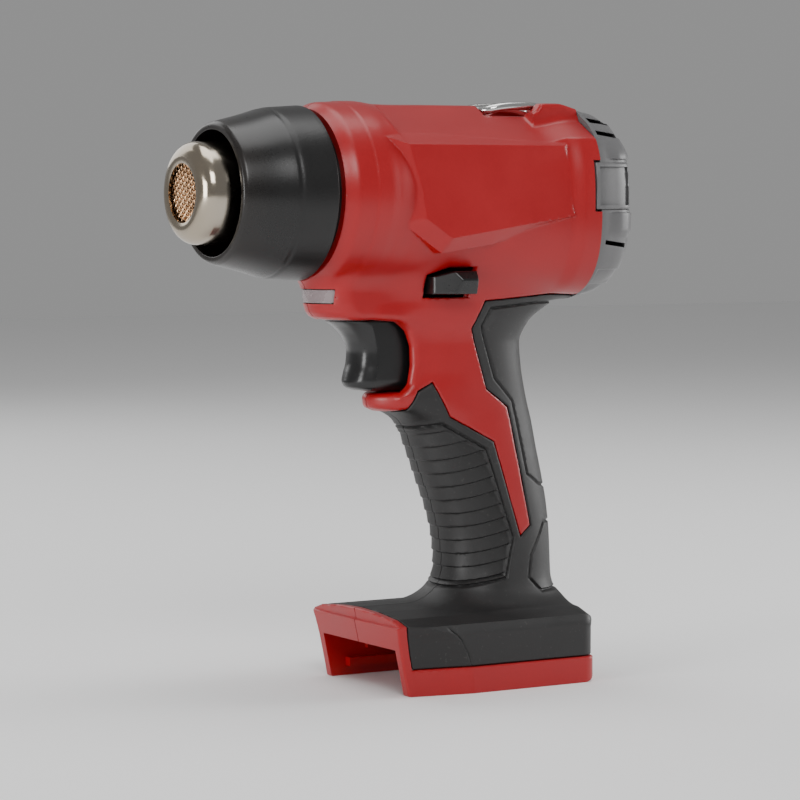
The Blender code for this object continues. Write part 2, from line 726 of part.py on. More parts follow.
def make_controls():
    """Trigger with its stem and spring, switch, lock shuttle, lamp, circuit board and hook."""
    half = TRIGGER_HALF_WIDTH
    side = (
        (-0.0276, 0.1255),
        (-0.0225, 0.1225),
        (-0.0196, 0.1180),
        (-0.0186, 0.1120),
        (-0.0200, 0.1062),
        (-0.0196, 0.1030),
        (-0.0165, 0.1013),
        (0.0020, 0.1013),
        (0.0020, 0.1255),
    )
    trigger = rounded(flat_solid("trigger", side, -half, half, "Y"), 0.0016)
    stem = rod("stem", (0.0010, 0, TRIGGER_AXIS_Z), (0.0125, 0, TRIGGER_AXIS_Z), 0.0018, 12)
    part(joined("trigger", [trigger, stem]), "trigger", black_plastic)

    switch = rounded(block("switch", (0.0108, -0.0080, 0.1025), (0.0340, 0.0080, 0.1238)), 0.0006, 1)
    bore = rod("bore", (0.0090, 0, TRIGGER_AXIS_Z), (0.0190, 0, TRIGGER_AXIS_Z), 0.0022, 12)
    part(carved(switch, bore), "switch_body", black_plastic)

    turns, points_per_turn, start, end = 5, 8, 0.0026, 0.0102
    count = turns * points_per_turn
    coil = []
    for i in range(count + 1):
        angle = 2 * math.pi * i / points_per_turn
        y, z = 0.0032 * math.cos(angle), 0.0032 * math.sin(angle)
        coil.append((start + (end - start) * i / count, y, TRIGGER_AXIS_Z + z))
    part(tube("spring", coil, 0.0003, 1), "trigger_spring", steel)

    reach = SHUTTLE_HALF_LENGTH
    shuttle = flat_solid("shuttle", list(SHUTTLE_SIDE), -reach, reach, "Y")
    part(rounded(shuttle, 0.0010), "lock_shuttle", black_plastic)

    lens = flat_solid("lens", list(LENS_SIDE), -0.0103, 0.0103, "Y")
    part(lens, "led_lens", lens_plastic)
    board = block("lamp_board", (-0.0300, -0.0085, 0.1295), (-0.0288, 0.0085, 0.1385))
    lamps = [
        rod("lamp", (-0.0304, y, 0.1340), (-0.0295, y, 0.1340), 0.0017, 12) for y in (-0.005, 0.005)
    ]
    part(joined("lamp_board", [board, *lamps]), "led_board", board_green)

    board = block("board", (0.0200, 0.0030, 0.0690), (0.0420, 0.0045, 0.0900))
    chip = block("chip", (0.0250, 0.0010, 0.0760), (0.0360, 0.0035, 0.0860))
    part(joined("board", [board, chip]), "control_board", board_green)


def make_hook():
    """A bent-wire hanging hook: two arched legs, a front bar, and pivots sprung into the shells."""
    pivot_x, pivot_z = HOOK_PIVOT
    half = [
        (pivot_x, 0.0145, pivot_z),
        (pivot_x, 0.0108, pivot_z),
        (pivot_x - 0.0012, 0.0098, pivot_z + 0.0004),
        (pivot_x - 0.0080, 0.0096, 0.1983),
        (pivot_x - 0.0150, 0.0096, 0.1987),
        (pivot_x - 0.0220, 0.0092, 0.1983),
        (pivot_x - 0.0268, 0.0076, 0.1973),
        (pivot_x - 0.0285, 0.0045, 0.1968),
    ]
    path = half + [(x, -y, z) for x, y, z in reversed(half)]
    part(tube("hook", path, HOOK_WIRE_RADIUS), "hang_hook", steel)


def make_terminals():
    """The terminal block that hangs into the battery channel, and its four contact blades."""
    body = rounded(block("terminals", (0.0280, -0.0145, 0.0030), (0.0500, 0.0145, 0.0205)), 0.0006, 1)
    slots = []
    for i, y in enumerate((-0.0102, -0.0036, 0.0036, 0.0102)):
        blade = block("blade", (0.0190, y - 0.0004, 0.0050), (0.0380, y + 0.0004, 0.0115))
        part(rounded(blade, 0.0002, 1), f"terminal_blade_{i + 1}", brass)
        slots.append(block("slot", (0.0270, y - 0.0007, 0.0047), (0.0383, y + 0.0007, 0.0118)))
    cutter = merged("blade_slots", slots)
    part(carved(body, cutter), "terminal_block", black_plastic)


def make_leads():
    """Insulated wires clipped inside the shells, each from one terminal to the next."""
    runs = {
        "battery_lead": [
            (0.0440, 0.0060, 0.0210),
            (0.0450, 0.0060, 0.0290),
            (0.0445, 0.0075, 0.0500),
            (0.0455, 0.0075, 0.0680),
            (0.0440, 0.0060, 0.0850),
            (0.0400, 0.0060, 0.1000),
            (0.0385, 0.0040, 0.1080),
            (0.0346, 0.0040, 0.1120),
        ],
        "heater_lead": [
            (0.0346, 0.0050, 0.1180),
            (0.0380, 0.0060, 0.1225),
            (0.0360, 0.0090, 0.1330),
            (0.0280, 0.0130, 0.1420),
            (0.0160, 0.0168, 0.1465),
            (0.0060, 0.0172, 0.1480),
            (-0.0015, 0.0175, 0.1500),
            (-0.0061, 0.0165, 0.1515),
        ],
        "motor_lead": [
            (0.0346, 0.0020, 0.1215),
            (0.0400, 0.0030, 0.1240),
            (0.0430, 0.0060, 0.1350),
            (0.0450, 0.0060, 0.1440),
            (0.0520, 0.0060, 0.1483),
            (0.0620, 0.0060, 0.1490),
            (0.0700, 0.0060, 0.1510),
            (0.0720, 0.0060, 0.1560),
            (0.0712, 0.0060, 0.1610),
        ],
    }
    for name, half in runs.items():
        for suffix, side, finish in (("positive", 1, lead_red), ("negative", -1, lead_black)):
            route = smooth_path([(x, side * y, z) for x, y, z in half], 2)
            part(tube(name, route, 0.0008, 1), f"{name}_{suffix}", finish)


def make_screws():
    """Pan-head screws that draw the +Y shell to the -Y shell."""
    seat = SCREW_HEAD_Y - 0.0022
    for i, (x, z, _) in enumerate(HOUSING_SCREWS):
        head = rod("head", (x, seat, z), (x, SCREW_HEAD_Y, z), SCREW_HEAD_RADIUS, 12)
        shank = rod("shank", (x, -0.0090, z), (x, seat + 0.0005, z), SCREW_RADIUS, 8)
        screw = joined("screw", [head, shank])
        socket = rod("socket", (x, SCREW_HEAD_Y - 0.0013, z), (x, SCREW_HEAD_Y + 0.001, z), 0.0013, 6)
        part(carved(screw, socket), f"housing_screw_{i + 1}", steel)


def main():
    make_shells()
    make_front()
    make_heater()
    make_fan()
    make_motor()
    make_cap()
    make_controls()
    make_hook()
    make_terminals()
    make_leads()
    make_screws()
    for left_over in list(cutters.objects):
        bpy.data.objects.remove(left_over)


for old in list(bpy.data.objects):
    bpy.data.objects.remove(old)
parts = new_collection("heat_gun")
cutters = new_collection("cutters")
red = material("red_plastic", (0.50, 0.020, 0.022), 0.38)
rubber_black = material("black_rubber", (0.045, 0.043, 0.042), 0.62)
black_plastic = material("black_plastic", (0.012, 0.012, 0.012), 0.45)
grey_plastic = material("grey_plastic", (0.17, 0.165, 0.16), 0.42)
lens_plastic = material("lamp_lens", (0.42, 0.36, 0.38), 0.25)
steel = material("steel", (0.55, 0.54, 0.52), 0.22, 1.0)
copper = material("copper_mesh", (0.42, 0.22, 0.10), 0.35, 1.0)
brass = material("brass", (0.60, 0.42, 0.16), 0.30, 1.0)
nichrome = material("resistance_wire", (0.24, 0.20, 0.18), 0.45, 1.0)
mica = material("mica", (0.45, 0.40, 0.30), 0.50)
ceramic = material("ceramic", (0.60, 0.58, 0.52), 0.60)
ferrite = material("ferrite", (0.03, 0.03, 0.035), 0.55)
board_green = material("circuit_board", (0.02, 0.09, 0.04), 0.40)
lead_red = material("red_lead", (0.40, 0.02, 0.02), 0.45)
lead_black = material("black_lead", (0.02, 0.02, 0.02), 0.45)
main()
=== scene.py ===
import json
import math
import bpy
import numpy as np
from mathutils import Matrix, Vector

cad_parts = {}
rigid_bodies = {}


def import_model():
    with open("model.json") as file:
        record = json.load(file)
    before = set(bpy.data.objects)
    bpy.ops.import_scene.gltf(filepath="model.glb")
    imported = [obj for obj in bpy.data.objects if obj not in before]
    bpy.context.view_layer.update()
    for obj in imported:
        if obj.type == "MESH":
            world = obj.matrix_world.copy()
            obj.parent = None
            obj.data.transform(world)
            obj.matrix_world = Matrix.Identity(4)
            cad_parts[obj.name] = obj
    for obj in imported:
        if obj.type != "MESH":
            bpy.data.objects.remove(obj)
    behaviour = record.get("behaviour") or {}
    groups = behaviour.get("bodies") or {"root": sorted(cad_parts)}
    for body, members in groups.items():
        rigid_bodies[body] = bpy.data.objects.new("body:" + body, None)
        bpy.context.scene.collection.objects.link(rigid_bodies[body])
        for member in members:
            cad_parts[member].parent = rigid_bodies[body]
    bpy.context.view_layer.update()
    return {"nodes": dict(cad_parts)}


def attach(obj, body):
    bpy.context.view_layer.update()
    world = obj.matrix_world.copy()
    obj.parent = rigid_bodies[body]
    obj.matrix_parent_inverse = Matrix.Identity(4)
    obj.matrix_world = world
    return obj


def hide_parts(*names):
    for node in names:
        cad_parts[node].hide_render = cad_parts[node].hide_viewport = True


for startup in list(bpy.data.objects):
    bpy.data.objects.remove(startup)
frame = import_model()


# ---------------------------------------------------------------- camera and studio light
# A long lens a metre away, a little above the barrel and ahead of the tool's left side.
# Large soft lamps stand round it in plain white surroundings.
AZIMUTH, ELEVATION = math.radians(-30.98), math.radians(3.83)
TARGET = Vector((0.00159, 0.0, 0.0978))
DISTANCE = 1.0291

back = Vector((
    math.sin(AZIMUTH) * math.cos(ELEVATION),
    -math.cos(AZIMUTH) * math.cos(ELEVATION),
    math.sin(ELEVATION),
))
camera_data = bpy.data.cameras.new("camera")
camera_data.lens = 135
camera_data.sensor_width = 36
camera_data.clip_start = 0.01
camera = bpy.data.objects.new("camera", camera_data)
camera.location = TARGET + back * DISTANCE
camera.rotation_mode = "QUATERNION"
camera.rotation_quaternion = back.to_track_quat("Z", "Y")
bpy.context.scene.collection.objects.link(camera)
bpy.context.scene.camera = camera


def lamp(name, place, aim, size, watts):
    """A square soft lamp at a place in metres, turned towards a point."""
    data = bpy.data.lights.new(name, "AREA")
    data.shape = "SQUARE"
    data.size = size
    data.energy = watts
    made = bpy.data.objects.new(name, data)
    made.location = place
    made.rotation_mode = "QUATERNION"
    made.rotation_quaternion = (Vector(place) - Vector(aim)).to_track_quat("Z", "Y")
    bpy.context.scene.collection.objects.link(made)


lamp("key", (-0.45, -1.2, 1.0), (0, 0, 0.11), 0.6, 9)
lamp("front", (-1.3, -0.3, 0.3), (0, 0, 0.1), 0.55, 9)
lamp("top", (0.1, 0.1, 1.35), (0, 0, 0.1), 0.9, 8)
lamp("rear", (1.15, -0.25, 0.35), (0.03, 0, 0.1), 0.5, 8)
lamp("far", (-0.2, 1.1, 0.7), (0, 0, 0.1), 0.9, 4)

world = bpy.data.worlds.new("studio")
world.use_nodes = True
world.node_tree.nodes["Background"].inputs["Color"].default_value = (1, 1, 1, 1)
world.node_tree.nodes["Background"].inputs["Strength"].default_value = 0.30
bpy.context.scene.world = world


# ---------------------------------------------------------------- housing shells
# Two red injection-moulded shells, glass-filled nylon, meeting on the middle plane and held by
# eight screws. They carry the barrel, the handle's core, the trigger guard, the chin and the foot.
RED = (0.34, 0.0012, 0.0040)
CHEEK_SIDE = (
    (-13, 128), (-6.5, 126.2), (-2.6, 122), (-0.7, 116.5), (-0.5, 110), (-1.6, 104), (-5, 99),
    (12, 98), (14, 130),
)
NOTCH_SIDE = ((60.0, 162.3), (70, 162.3), (70, 179.9), (60.0, 179.9))
HOOK_CHEEK = ((44, 195.6), (46.5, 196.9), (49, 199.4), (55, 199.5), (62.8, 197.8))
HOOK_BORE_X, HOOK_BORE_Z, HOOK_BORE_RADIUS = 59.0, 196.8, 1.8
HOOK_BORE_END, HOOK_HUMP_MIDDLE, HOOK_HUMP_HALF, HOOK_HUMP_FRONT = 14.9, 14.3, 2.5, 45
FACET_EDGE = ((0, 11.6), (9, 10.8), (18, 7), (22.5, 2), (28, -4))
SPLIT, GRIP_DEPTH, SHELL_WALL = 0.15, 2.1, 2.2
BARREL_FRONT, BARREL_REAR, COLLAR_REAR, COLLAR_STEP = -36, 62.8, -24.3, 0.175
BARREL_CENTRE = ((-36, 168.5), (-19, 168.5), (-11, 168.1), (10, 167.3), (35, 166.0), (62.8, 165.0))
BARREL_HALF_WIDTH = (
    (-36, 28.5), (-31, 30.7), (-20, 31.1), (-16, 30.6), (-9, 29.7), (10, 29.8), (35, 30.4),
    (51, 30.9), (57, 32.5), (62.8, 32.85),
)
BARREL_HALF_HEIGHT = (
    (-36, 28.5), (-31, 30.7), (-19, 31.1), (-11, 30.6), (10, 31.4), (35, 32.7), (62.8, 33.4),
)
BARREL_SQUARENESS = ((-36, 2.0), (-19, 2.0), (-11, 2.1), (10, 2.2), (35, 2.5), (62.8, 2.8))
HANDLE_FRONT = (
    (16, 9), (22, 11), (27, 13), (33, 16.5), (40, 17.8), (50, 16.8), (60, 14), (70, 10), (80, 6),
    (90, 1.5), (96, -4.3), (101, -3), (108, 0.5), (117, 0.5), (124, -3), (130, -8.5), (146, -12),
)
HANDLE_REAR = (
    (16, 60), (27, 60.3), (33, 59.7), (50, 59), (60, 58), (70, 56.2), (80, 54), (90, 52),
    (101, 49.3), (108, 47.8), (117, 47), (124, 50.5), (130, 57.5), (134, 59.5), (146, 60),
)
HANDLE_HALF_WIDTH = (
    (16, 22), (22, 20.5), (27, 19), (33, 17.6), (40, 16.8), (60, 16.5), (80, 16), (101, 15.5),
    (117, 15.5), (130, 17.5), (146, 19),
)
FOOT_FRONT_VIEW = (
    (0, -4), (32.5, -4), (32.5, 20.3), (31, 23.6), (24, 25.8), (12, 27.0), (0, 27.5), (-32.5, 27.5),
    (-32.5, -4),
)
GRIP_SIDE = (
    (-14.0, 92.5), (-2.0, 95.5), (1.0, 101.5), (6.5, 104.5), (13.0, 92.5), (30.0, 83.5),
    (40.5, 50.5), (44.5, 54.0), (36.0, 95.0), (27.0, 101.5), (20.5, 122.5), (25.0, 132.0),
    (53.0, 134.0), (72.0, 133.0), (72.0, 9.0), (-10.6, 9.0), (-13.3, 22.5), (-14.0, 29.0),
)
PANEL_INNER = (
    (-14.0, 192), (-8.0, 170), (-7.0, 160), (2.5, 153.5), (52.5, 161), (51.5, 165), (50.2, 183),
    (50.2, 192),
)
PANEL_OUTER = (
    (-20.5, 194), (-14.6, 170), (-13.5, 158), (0.3, 148.5), (20.5, 151.4), (54.5, 159.6),
    (55.2, 175), (54.6, 194),
)
PANEL_FACE, PANEL_LEAN, PANEL_DROP = 31.7, 0.11, 3.9
DECK_ACROSS, DECK_UP, DECK_OUT, DECK_END_RISE = 0.506, 0.863, 28.7, 2.5
HANDLE_MIDDLE, HANDLE_HALF = 85, 65
HANDLE_FILLET, FOOT_FILLET, CHIN_FILLET, CHEEK_FILLET, LIP_FILLET = 7, 9, 5, 4, 3
FOOT_HALF, FOOT_REAR, FOOT_RAKE, FOOT_SOLE, FACET_SLOPE = 32.5, 61.8, 0.215, 0.04, 0.19
SHOULDER_HALF, SHOULDER_TOP = 29.6, 23.2
CHIN_HALF, CHEEK_HALF, LIP_HALF, LIP_ROUND = 13.5, 12.6, 12.0, 2.2
CHIN_BOW, LIP_BOW = 6.8 / 12**2, 5.6 / 10**2
SLIDEWAY_HALF, SLIDEWAY_TOP, SLIDEWAY_END = 24.4, 15.6, 53
RAIL_REACH, RAIL_HEIGHT, RAIL_HALF, RAIL_FRONT = 21.2, 5, 1.5, -6
LEDGE_REACH, LEDGE_HEIGHT, LEDGE_HALF, LEDGE_FRONT = 22.6, 10.6, 1.3, 2
HOOK_POCKET = ((28.5, 60.8), 11.8, (195, 210))
TERMINAL_POCKET = ((27.6, 50.8), 15, (-1, 23))
TRIGGER_MOUTH = ((-30, 12), 9.9, (101, 125.8))
LENS_HALF, LENS_SLANT, LENS_MIDDLE = 10.3, 0.22, 134
NOTCH_DEPTH_FROM = 24
WELL_RADIUS, WELL_FLOOR = 2.9, 6.0
CHIN_SIDE = (
    (-35.9, 142), (-35.55, 136), (-34.9, 131.5), (-33.9, 128.6), (-32.4, 127), (-30.4, 126.2),
    (-28, 126.0), (12, 126.1), (12, 150), (-30, 150),
)
LIP_SIDE = ((-9.8, 98.5), (-9.7, 97.3), (-8.0, 96.6), (-4, 96.4), (8, 96.4), (8, 98.6))
SHUTTLE_SIDE = ((1.5, 133.2), (18.2, 133.2), (18.2, 143.6), (8.5, 143.6), (1.5, 141.0))
LENS_SIDE = ((-38, 136.5), (-38, 131.5), (-25.0, 131.5), (-26.0, 136.5))
SCREW_PLACES = (
    (-22.5, 134), (-14.5, 192.5), (52, 189.5), (52, 141), (12.5, 96), (26.5, 62), (50, 40), (3, 19),
)


def between(t, stops):
    """Smooth values through the stops: a cubic over each gap, its end slopes the harmonic mean of
    the neighbouring chords' slopes, or zero where the chords turn, so that it never overshoots."""
    at, value = np.array(stops, float).T
    chord = np.diff(value) / np.diff(at)
    product = chord[1:] * chord[:-1]
    middle = np.where(product > 0, 2 * product / np.where(product > 0, chord[1:] + chord[:-1], 1), 0)
    slope = np.concatenate([chord[:1], middle, chord[-1:]])
    t = np.clip(t, at[0], at[-1])
    i = np.clip(np.searchsorted(at, t) - 1, 0, len(at) - 2)
    gap = at[i + 1] - at[i]
    s = (t - at[i]) / gap
    return (
        value[i] * (1 + 2 * s) * (1 - s) ** 2 + slope[i] * gap * s * (1 - s) ** 2
        + value[i + 1] * s**2 * (3 - 2 * s) + slope[i + 1] * gap * s**2 * (s - 1)
    )


def to_sides(a, b, points):
    """Least distance from (a, b) to any side of a closed outline, negative inside, where a ray
    towards lower a crosses an odd number of sides."""
    ends = points[1:] + points[:1]
    shape = np.broadcast(a, b).shape
    least = np.full(shape, 1e9)
    inside = np.zeros(shape, bool)
    for (pa, pb), (qa, qb) in zip(points, ends):
        da, db = qa - pa, qb - pb
        along = np.clip(((a - pa) * da + (b - pb) * db) / (da * da + db * db), 0, 1)
        least = np.minimum(least, (a - pa - along * da) ** 2 + (b - pb - along * db) ** 2)
        if db:
            inside ^= ((pb > b) != (qb > b)) & (a > pa + da * (b - pb) / db)
    return np.where(inside, -np.sqrt(least), np.sqrt(least))


def union(a, b, fillet):
    """The lesser of two distances, with a parabolic fillet where they are within the fillet's size."""
    near = np.maximum(fillet - np.abs(a - b), 0) / fillet
    return np.minimum(a, b) - near**2 * fillet / 4


def common(a, b, round_by):
    """The greater of two distances, rounded in the same way as a union's fillet."""
    return -union(-a, -b, round_by)


def all_of(*distances):
    """The greatest of several distances: what lies inside all the shapes at once."""
    greatest = distances[0]
    for distance in distances[1:]:
        greatest = np.maximum(greatest, distance)
    return greatest


def box(x, y, z, along, half, height):
    """Distance to a box astride the middle plane, from its span along X, its half width and its span
    in height."""
    return all_of(along[0] - x, x - along[1], np.abs(y) - half, height[0] - z, z - height[1])


def rise(t):
    """From 0 to 1 as t does, level at both ends: three t squared less two t cubed."""
    t = np.clip(t, 0, 1)
    return t * t * (3 - 2 * t)


def superellipse(across, up, half_width, half_height, power):
    """Distance to a superellipse along the ray from its centre: the reach r less r / q, with q the
    n-th root of |a/w|^n + |u/h|^n."""
    q = ((np.abs(across) / half_width) ** power + (np.abs(up) / half_height) ** power) ** (1 / power)
    return np.sqrt(across * across + up * up) * (1 - 1 / np.maximum(q, 0.05))


def barrel(x, y, z):
    """Distance to a tube along X of superellipse sections. Two flats run along its top, a collar is
    stepped in at its front, and a flat panel stands proud on each flank, with borders that fall
    away all round: by the share of the way from the panel's inner outline to its outer one."""
    up = z - between(x, BARREL_CENTRE)
    size = between(x, BARREL_HALF_WIDTH), between(x, BARREL_HALF_HEIGHT)
    tube = superellipse(y, up, *size, between(x, BARREL_SQUARENESS))
    ends = rise((-12 - x) / 3.5) + 0.8 * rise((x - 43) / 17)
    deck = np.abs(y) * DECK_ACROSS + (z - 168.5) * DECK_UP - DECK_OUT
    inner, outer = to_sides(x, z, PANEL_INNER), to_sides(x, z, PANEL_OUTER)
    fall = np.clip(inner / np.maximum(inner - outer, 0.05), 0, 1)
    plateau = (np.abs(y) - PANEL_FACE + PANEL_LEAN * (z - 160) + PANEL_DROP * fall) * 0.85
    tube = common(union(tube, all_of(plateau, outer, deck), 0.3), deck - DECK_END_RISE * ends, 0.3)
    tube = tube + COLLAR_STEP * rise((COLLAR_REAR - x) / 0.7)
    return all_of(tube, BARREL_FRONT - x, x - BARREL_REAR)


def handle(x, y, z):
    """Distance to a superellipse of power 2.5 across the handle at each height."""
    front, rear = between(z, HANDLE_FRONT), between(z, HANDLE_REAR)
    across, reach = between(z, HANDLE_HALF_WIDTH), (rear - front) / 2
    along = x - (front + rear) / 2
    return superellipse(along, y, reach, across, 2.5) * 0.96


def foot(x, y, z):
    """Distance to the foot: its front view drawn back along X, between a raked front and a rear wall."""
    view = common(to_sides(np.abs(y), z, FOOT_FRONT_VIEW), FOOT_SOLE - z, 0.6)
    facet = FACET_SLOPE * np.maximum(between(z, FACET_EDGE) - x, 0)
    view = np.maximum(view, np.abs(y) - FOOT_HALF + facet)
    shoulders = rise((np.abs(y) - SHOULDER_HALF) / 1.2) + 0.8 * rise((z - SHOULDER_TOP) / 0.6)
    raked = 0.97 * (-11.6 - FOOT_RAKE * z - x + shoulders)
    return common(common(view, raked, 0.8), x - FOOT_REAR, 5)


def outer_body(x, y, z):
    """Everything the two shells and the grip enclose, before the grip's layer is let in."""
    body = np.maximum(handle(x, y, z), np.abs(z - HANDLE_MIDDLE) - HANDLE_HALF)
    body = union(barrel(x, y, z), body, HANDLE_FILLET)
    body = union(body, foot(x, y, z), FOOT_FILLET)
    chin = common(to_sides(x - CHIN_BOW * y * y, z, CHIN_SIDE), np.abs(y) - CHIN_HALF, 2.5)
    body = union(body, chin, CHIN_FILLET)
    cheek = common(to_sides(x, z, CHEEK_SIDE), np.abs(y) - CHEEK_HALF, 3)
    body = union(body, cheek, CHEEK_FILLET)
    lip = common(to_sides(x - LIP_BOW * y * y, z, LIP_SIDE) - LIP_ROUND, np.abs(y) - LIP_HALF, 4)
    body = union(body, lip, LIP_FILLET)
    hump = np.abs(np.abs(y) - HOOK_HUMP_MIDDLE) - HOOK_HUMP_HALF
    hump = common((z - between(x, HOOK_CHEEK)) * 0.9, hump, 1.5)
    return union(body, all_of(hump, HOOK_HUMP_FRONT - x, x - BARREL_REAR, 190 - z), 2)


def screw_wells(x, y, z):
    """Distance to the round wells that the screw heads sit at the bottom of."""
    least = 1e9
    for place_x, place_z in SCREW_PLACES:
        least = np.minimum(least, np.hypot(x - place_x, z - place_z) - WELL_RADIUS)
    return np.maximum(least, WELL_FLOOR - np.abs(y))


def housing(x, y, z):
    """Distance to a red shell. The grip's layer is let in by its depth, and the openings are cut:
    the slideway with its rails, the hook's pocket and bore, the hollow inside, the pockets for the
    terminals, the trigger, the lens and the shuttle, and the notch for the rear cap."""
    outside = outer_body(x, y, z)
    red = common(outside, np.minimum(-to_sides(x, z, GRIP_SIDE), outside + GRIP_DEPTH), 0.7)
    slideway = all_of(np.abs(y) - SLIDEWAY_HALF, z - SLIDEWAY_TOP, x - SLIDEWAY_END)
    rails = all_of(RAIL_REACH - np.abs(y), np.abs(z - RAIL_HEIGHT) - RAIL_HALF, RAIL_FRONT - x)
    ledges = all_of(LEDGE_REACH - np.abs(y), np.abs(z - LEDGE_HEIGHT) - LEDGE_HALF, LEDGE_FRONT - x)
    red = np.maximum(red, -np.maximum(slideway, -np.minimum(rails, ledges)))
    red = common(red, -box(x, y, z, *HOOK_POCKET), 0.5)
    bore = np.hypot(x - HOOK_BORE_X, z - HOOK_BORE_Z) - HOOK_BORE_RADIUS
    red = np.maximum(red, -np.maximum(bore, np.abs(y) - HOOK_BORE_END))
    slant = np.abs(y) - LENS_HALF - LENS_SLANT * (z - LENS_MIDDLE)
    lens = np.maximum(to_sides(x, z, LENS_SIDE), slant)
    hollow = np.minimum(red + SHELL_WALL, box(x, y, z, *TERMINAL_POCKET))
    mouth = np.minimum(box(x, y, z, *TRIGGER_MOUTH), lens)
    red = np.maximum(red, -np.minimum(mouth, hollow))
    red = common(red, -to_sides(x, z, SHUTTLE_SIDE), 0.8)
    notch = np.maximum(to_sides(x, z, NOTCH_SIDE), NOTCH_DEPTH_FROM - np.abs(y))
    return all_of(red, -notch, y + SPLIT)


def skin(field, low, high, step, buried=None, merge=2.4):
    """Vertices and triangles of the surface where a distance field is zero. Each grid edge that
    changes sign gives a crossing and a normal; each cell with crossings gets one vertex, at the
    point nearest to all their tangent planes; the four cells round an edge make two triangles.
    Vertices that the buried test picks are merged within cells of the merge size. It serves the
    pieces whose blends and cut-outs leave them with no two parameters to follow."""
    axes = [np.arange(a, b + step, step) for a, b in zip(low, high)]
    values = field(axes[0][:, None, None], axes[1][None, :, None], axes[2][None, None, :])
    values = np.broadcast_to(values, [len(a) for a in axes])
    size = np.array(values.shape)
    solid = values < 0
    points, normals, cells, forward = [], [], [], []
    for axis in range(3):
        lower, upper = [slice(None)] * 3, [slice(None)] * 3
        lower[axis], upper[axis] = slice(None, -1), slice(1, None)
        start = np.argwhere(solid[tuple(lower)] != solid[tuple(upper)])
        end = start + np.eye(3, dtype=int)[axis]
        a, b = values[tuple(start.T)], values[tuple(end.T)]
        origin = np.stack([axes[k][start[:, k]] for k in range(3)], 1)
        near, far = np.zeros(len(a)), np.ones(len(a))
        for _ in range(3):
            share = near + (far - near) * np.clip(a / (a - b), 0.02, 0.98)
            at = origin.copy()
            at[:, axis] += share * step
            middle = field(*at.T)
            same = (middle < 0) == (a < 0)
            near, a = np.where(same, share, near), np.where(same, middle, a)
            far, b = np.where(same, far, share), np.where(same, b, middle)
        share = near + (far - near) * a / (a - b)
        at = origin.copy()
        at[:, axis] += share * step
        here = field(*at.T)
        slope = np.stack([field(*(at + 0.03 * np.eye(3)[k]).T) - here for k in range(3)], 1)
        slope /= np.maximum(np.linalg.norm(slope, axis=1, keepdims=True), 1e-9)
        one, two = (axis + 1) % 3, (axis + 2) % 3
        round_edge = np.zeros((4, 3), int)
        round_edge[[0, 3], one] = -1
        round_edge[[0, 1], two] = -1
        points.append(at)
        normals.append(slope)
        cells.append(start[:, None, :] + round_edge[None])
        forward.append(solid[tuple(start.T)])
    points, normals = np.concatenate(points), np.concatenate(normals)
    cells, forward = np.concatenate(cells), np.concatenate(forward)
    flat = (cells[..., 0] * size[1] + cells[..., 1]) * size[2] + cells[..., 2]
    kept, corner = np.unique(flat.ravel(), return_inverse=True)
    corner = corner.reshape(flat.shape)
    count = len(kept)

    def gathered(value):
        return np.bincount(corner.ravel(), np.repeat(value, 4), count)

    weight = gathered(np.ones(len(points)))
    centre = np.stack([gathered(points[:, k]) / weight for k in range(3)], 1)
    wide = np.repeat(normals, 4, 0)
    level = np.repeat((normals * points).sum(1), 4) - (wide * centre[corner.ravel()]).sum(1)
    square, pull = np.empty((count, 3, 3)), np.empty((count, 3))
    for i in range(3):
        pull[:, i] = np.bincount(corner.ravel(), wide[:, i] * level, count)
        for j in range(i, 3):
            square[:, i, j] = square[:, j, i] = gathered(normals[:, i] * normals[:, j])
    square += 0.06 * np.eye(3)
    vertices = centre + np.linalg.solve(square, pull[..., None])[..., 0]
    index = np.stack([kept // (size[1] * size[2]), kept // size[2] % size[1], kept % size[2]], 1)
    floor_of = np.array([axes[k][0] for k in range(3)]) + index * step
    vertices = np.clip(vertices, floor_of - 0.05 * step, floor_of + 1.05 * step)
    corner[~forward] = corner[~forward][:, ::-1]
    faces = np.concatenate([corner[:, [0, 1, 2]], corner[:, [0, 2, 3]]])
    if buried is not None:
        hidden = np.flatnonzero(buried(*vertices.T))
        blocks = np.floor(vertices[hidden] / merge).astype(np.int64) + 10000
        numbers = blocks @ [1 << 40, 1 << 20, 1]
        _, first, group = np.unique(numbers, return_index=True, return_inverse=True)
        target = np.arange(count)
        target[hidden] = hidden[first][group.ravel()]
        faces = target[faces]
        whole = (faces != np.roll(faces, 1, 1)).all(1)
        used, faces = np.unique(faces[whole], return_inverse=True)
        vertices, faces = vertices[used], faces.reshape(-1, 3)
    return vertices, faces


def mesh_piece(name, vertices, faces, finish, sharp=38):
    """An object from points in millimetres and faces of equal length, smooth below a crease angle."""
    mesh = bpy.data.meshes.new(name)
    faces = np.asarray(faces)
    sides = faces.shape[1]
    mesh.vertices.add(len(vertices))
    mesh.vertices.foreach_set("co", (np.asarray(vertices) / 1000).astype(np.float32).ravel())
    mesh.loops.add(faces.size)
    mesh.loops.foreach_set("vertex_index", faces.astype(np.int32).ravel())
    mesh.polygons.add(len(faces))
    mesh.polygons.foreach_set("loop_start", np.arange(0, faces.size, sides, dtype=np.int32))
    mesh.update(calc_edges=True)
    mesh.validate()
    mesh.shade_smooth()
    mesh.set_sharp_from_angle(angle=math.radians(sharp))
    mesh.materials.append(finish)
    made = bpy.data.objects.new(name, mesh)
    bpy.context.scene.collection.objects.link(made)
    return made


